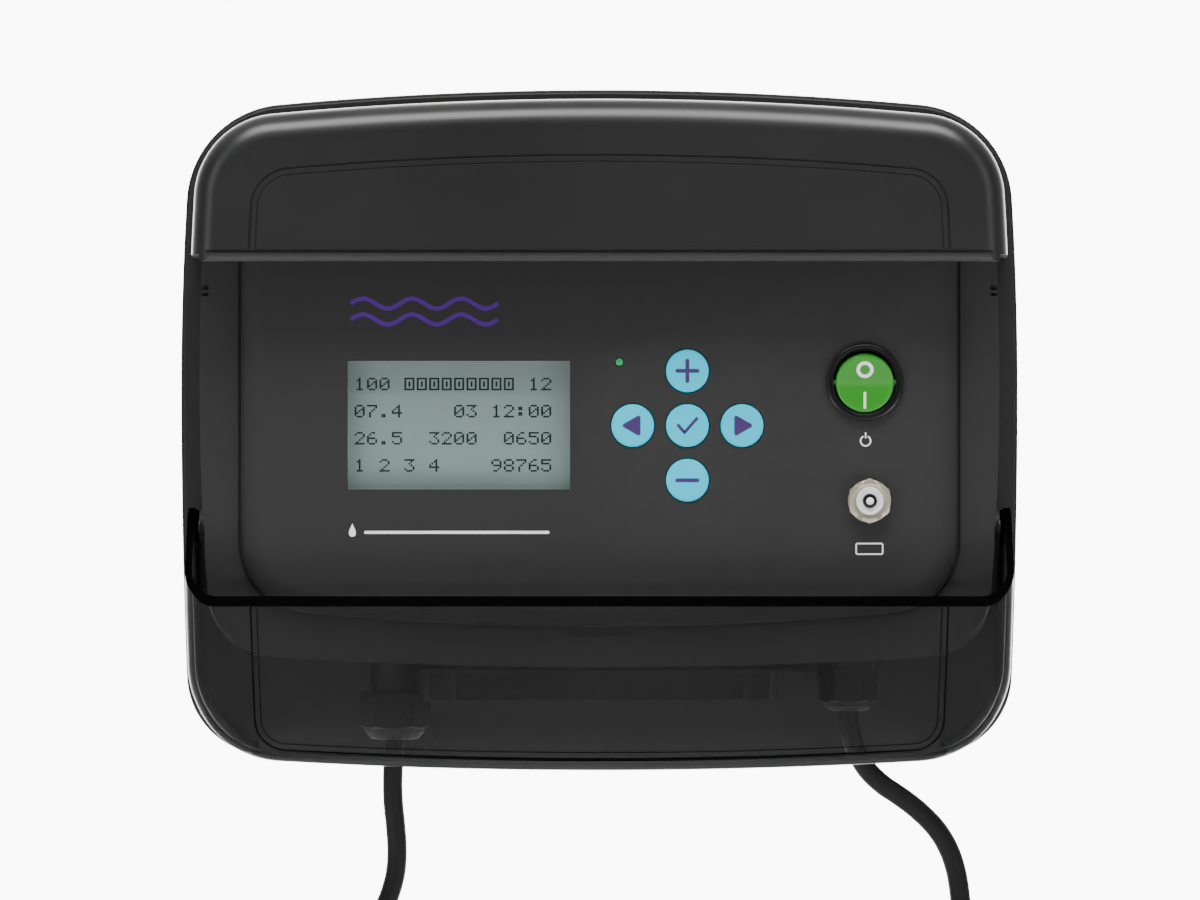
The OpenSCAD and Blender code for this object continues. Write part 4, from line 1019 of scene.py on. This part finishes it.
bands = []
for x in (cell_coil_at[0], mains_coil_at[0]):
    loop = np.array([(y * 7.2, z * 7.2) for y, z in ((1, -1), (1, 1), (-1, 1), (-1, -1))])
    outline = [loop[i // 9] + 4 * np.array([np.cos(radians(i // 9 * 90 - 90 + i % 9 * 11.25)),
                                            np.sin(radians(i // 9 * 90 - 90 + i % 9 * 11.25))])
                                            for i in range(36)]
    outline = np.array(outline)
    way = outline / np.linalg.norm(outline, axis=1)[:, None]
    section = [(0, -2.3), (0, 2.3), (0.25, 2.5), (0.95, 2.5), (1.2, 2.3), (1.2, -2.3), (0.95, -2.5),
               (0.25, -2.5)]
    verts = np.concatenate([np.stack([np.full(36, x + w), -at_mid + (outline + way * out)[:, 0],
                                      -184.5 + (outline + way * out)[:, 1]], 1)[None] for out, w in section])
    bands.append((verts.reshape(-1, 3) / 1e3, wrap_faces(8, 36, "loop")))
ties = mesh_piece("ties", *joined(bands))
carved(ties, [block_part((x - 3.6, x + 3.6), (73, 78), (-173.6, -172.1))
              for x in (cell_coil_at[0], mains_coil_at[0])], "UNION")
dress(ties, nylon)
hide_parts("cable_ties")

# ---- Fixings -------------------------------------------------------------------------------------
# Zinc-plated steel for the bracket and the studs that hang on it, screws and pins of plated steel, and black
# rubber for the gasket, the seals and the pads that carry the transformer.
rubber = moulded("rubber", (0.012, 0.012, 0.012), 0.75, grain=0.3, scale=800.0, dust=0.3, wear=0.05,
                 shine=0.2)
dress(["wall_bracket", "transformer_clamp", "transformer_bolt"], zinc)
dress(["hanger_studs", "shell_screws", "facia_screws", "board_screws", "hinge_pins", "clock_battery"], steel)
dress(["shell_gasket", "gland_seals", "transformer_pads"], rubber)
dress("vent_grille", box_plastic)

# ---- Electronics ---------------------------------------------------------------------------------
# Two printed boards, the power parts on the larger, the ring transformer under its tape, and the wires that
# join them inside the box.
def board_stuff():
    """Green lacquer over copper: the cells of a Voronoi pattern by greatest distance give straight tracks,
    where the distance to the cell's edge is small, and the lacquer there is lighter."""
    mat, links, skin = plain_material("board_lacquer", (0.01, 0.1, 0.03), 0.35)
    place = node(mat.node_tree, "ShaderNodeTexCoord").outputs["Object"]
    cells = node(mat.node_tree, "ShaderNodeTexVoronoi", [(place, "Vector")], Scale=160.0, Randomness=0.7,
                 distance="CHEBYCHEV")
    track = ramp(mat.node_tree, cells.outputs["Distance"], 0.5, 0.54)
    links.new(mixed(mat, track, (0.008, 0.085, 0.03), (0.02, 0.2, 0.06), "RGBA"),
              skin.inputs["Base Color"])
    links.new(mixed(mat, track, 0.3, 0.42), skin.inputs["Roughness"])
    bumped(mat, skin, track, 0.3, 0.00005)
    return mat


dress(["display_board", "main_board"], board_stuff())
dress("lcd_frame", plated("tinned_frame", (0.5, 0.5, 0.5), 0.4, 0.9))
dress("lcd_backlight", moulded("backlight_acrylic", (0.75, 0.78, 0.76), 0.3, grain=0.05, dust=0.05))
dress(["tact_switches", "rectifier"], moulded("component_black", (0.012, 0.012, 0.012), 0.45, grain=0.15,
                                              dust=0.15))
dress("status_led", moulded("led_resin", (0.1, 0.7, 0.16), 0.15, grain=0.02, dust=0.02, wear=0.0))
dress("heat_sink", aluminium)
dress(["relays", "capacitors"], moulded("blue_case", (0.02, 0.06, 0.3), 0.38, grain=0.08, dust=0.15))
dress("fuse_holder", moulded("fuse_ceramic", (0.55, 0.48, 0.3), 0.5, grain=0.1, dust=0.15))
dress("terminal_block", moulded("terminal_green", (0.02, 0.3, 0.1), 0.42, grain=0.1, dust=0.15))
dress("transformer", moulded("winding_tape", (0.62, 0.42, 0.06), 0.4, grain=0.35, scale=500.0, dust=0.2))
dress("ribbon_cable", moulded("ribbon_grey", (0.3, 0.3, 0.31), 0.55, grain=0.2, dust=0.1))
dress("inner_wires", moulded("wire_brown", (0.13, 0.05, 0.02), 0.45, grain=0.1, dust=0.1))

# ---- End -----------------------------------------------------------------------------------------
# Each lead's line, thickness, end fitting and length are taken from the cords table.
for name, piece in leads.items():
    line, d, far_end, length = cords[name]
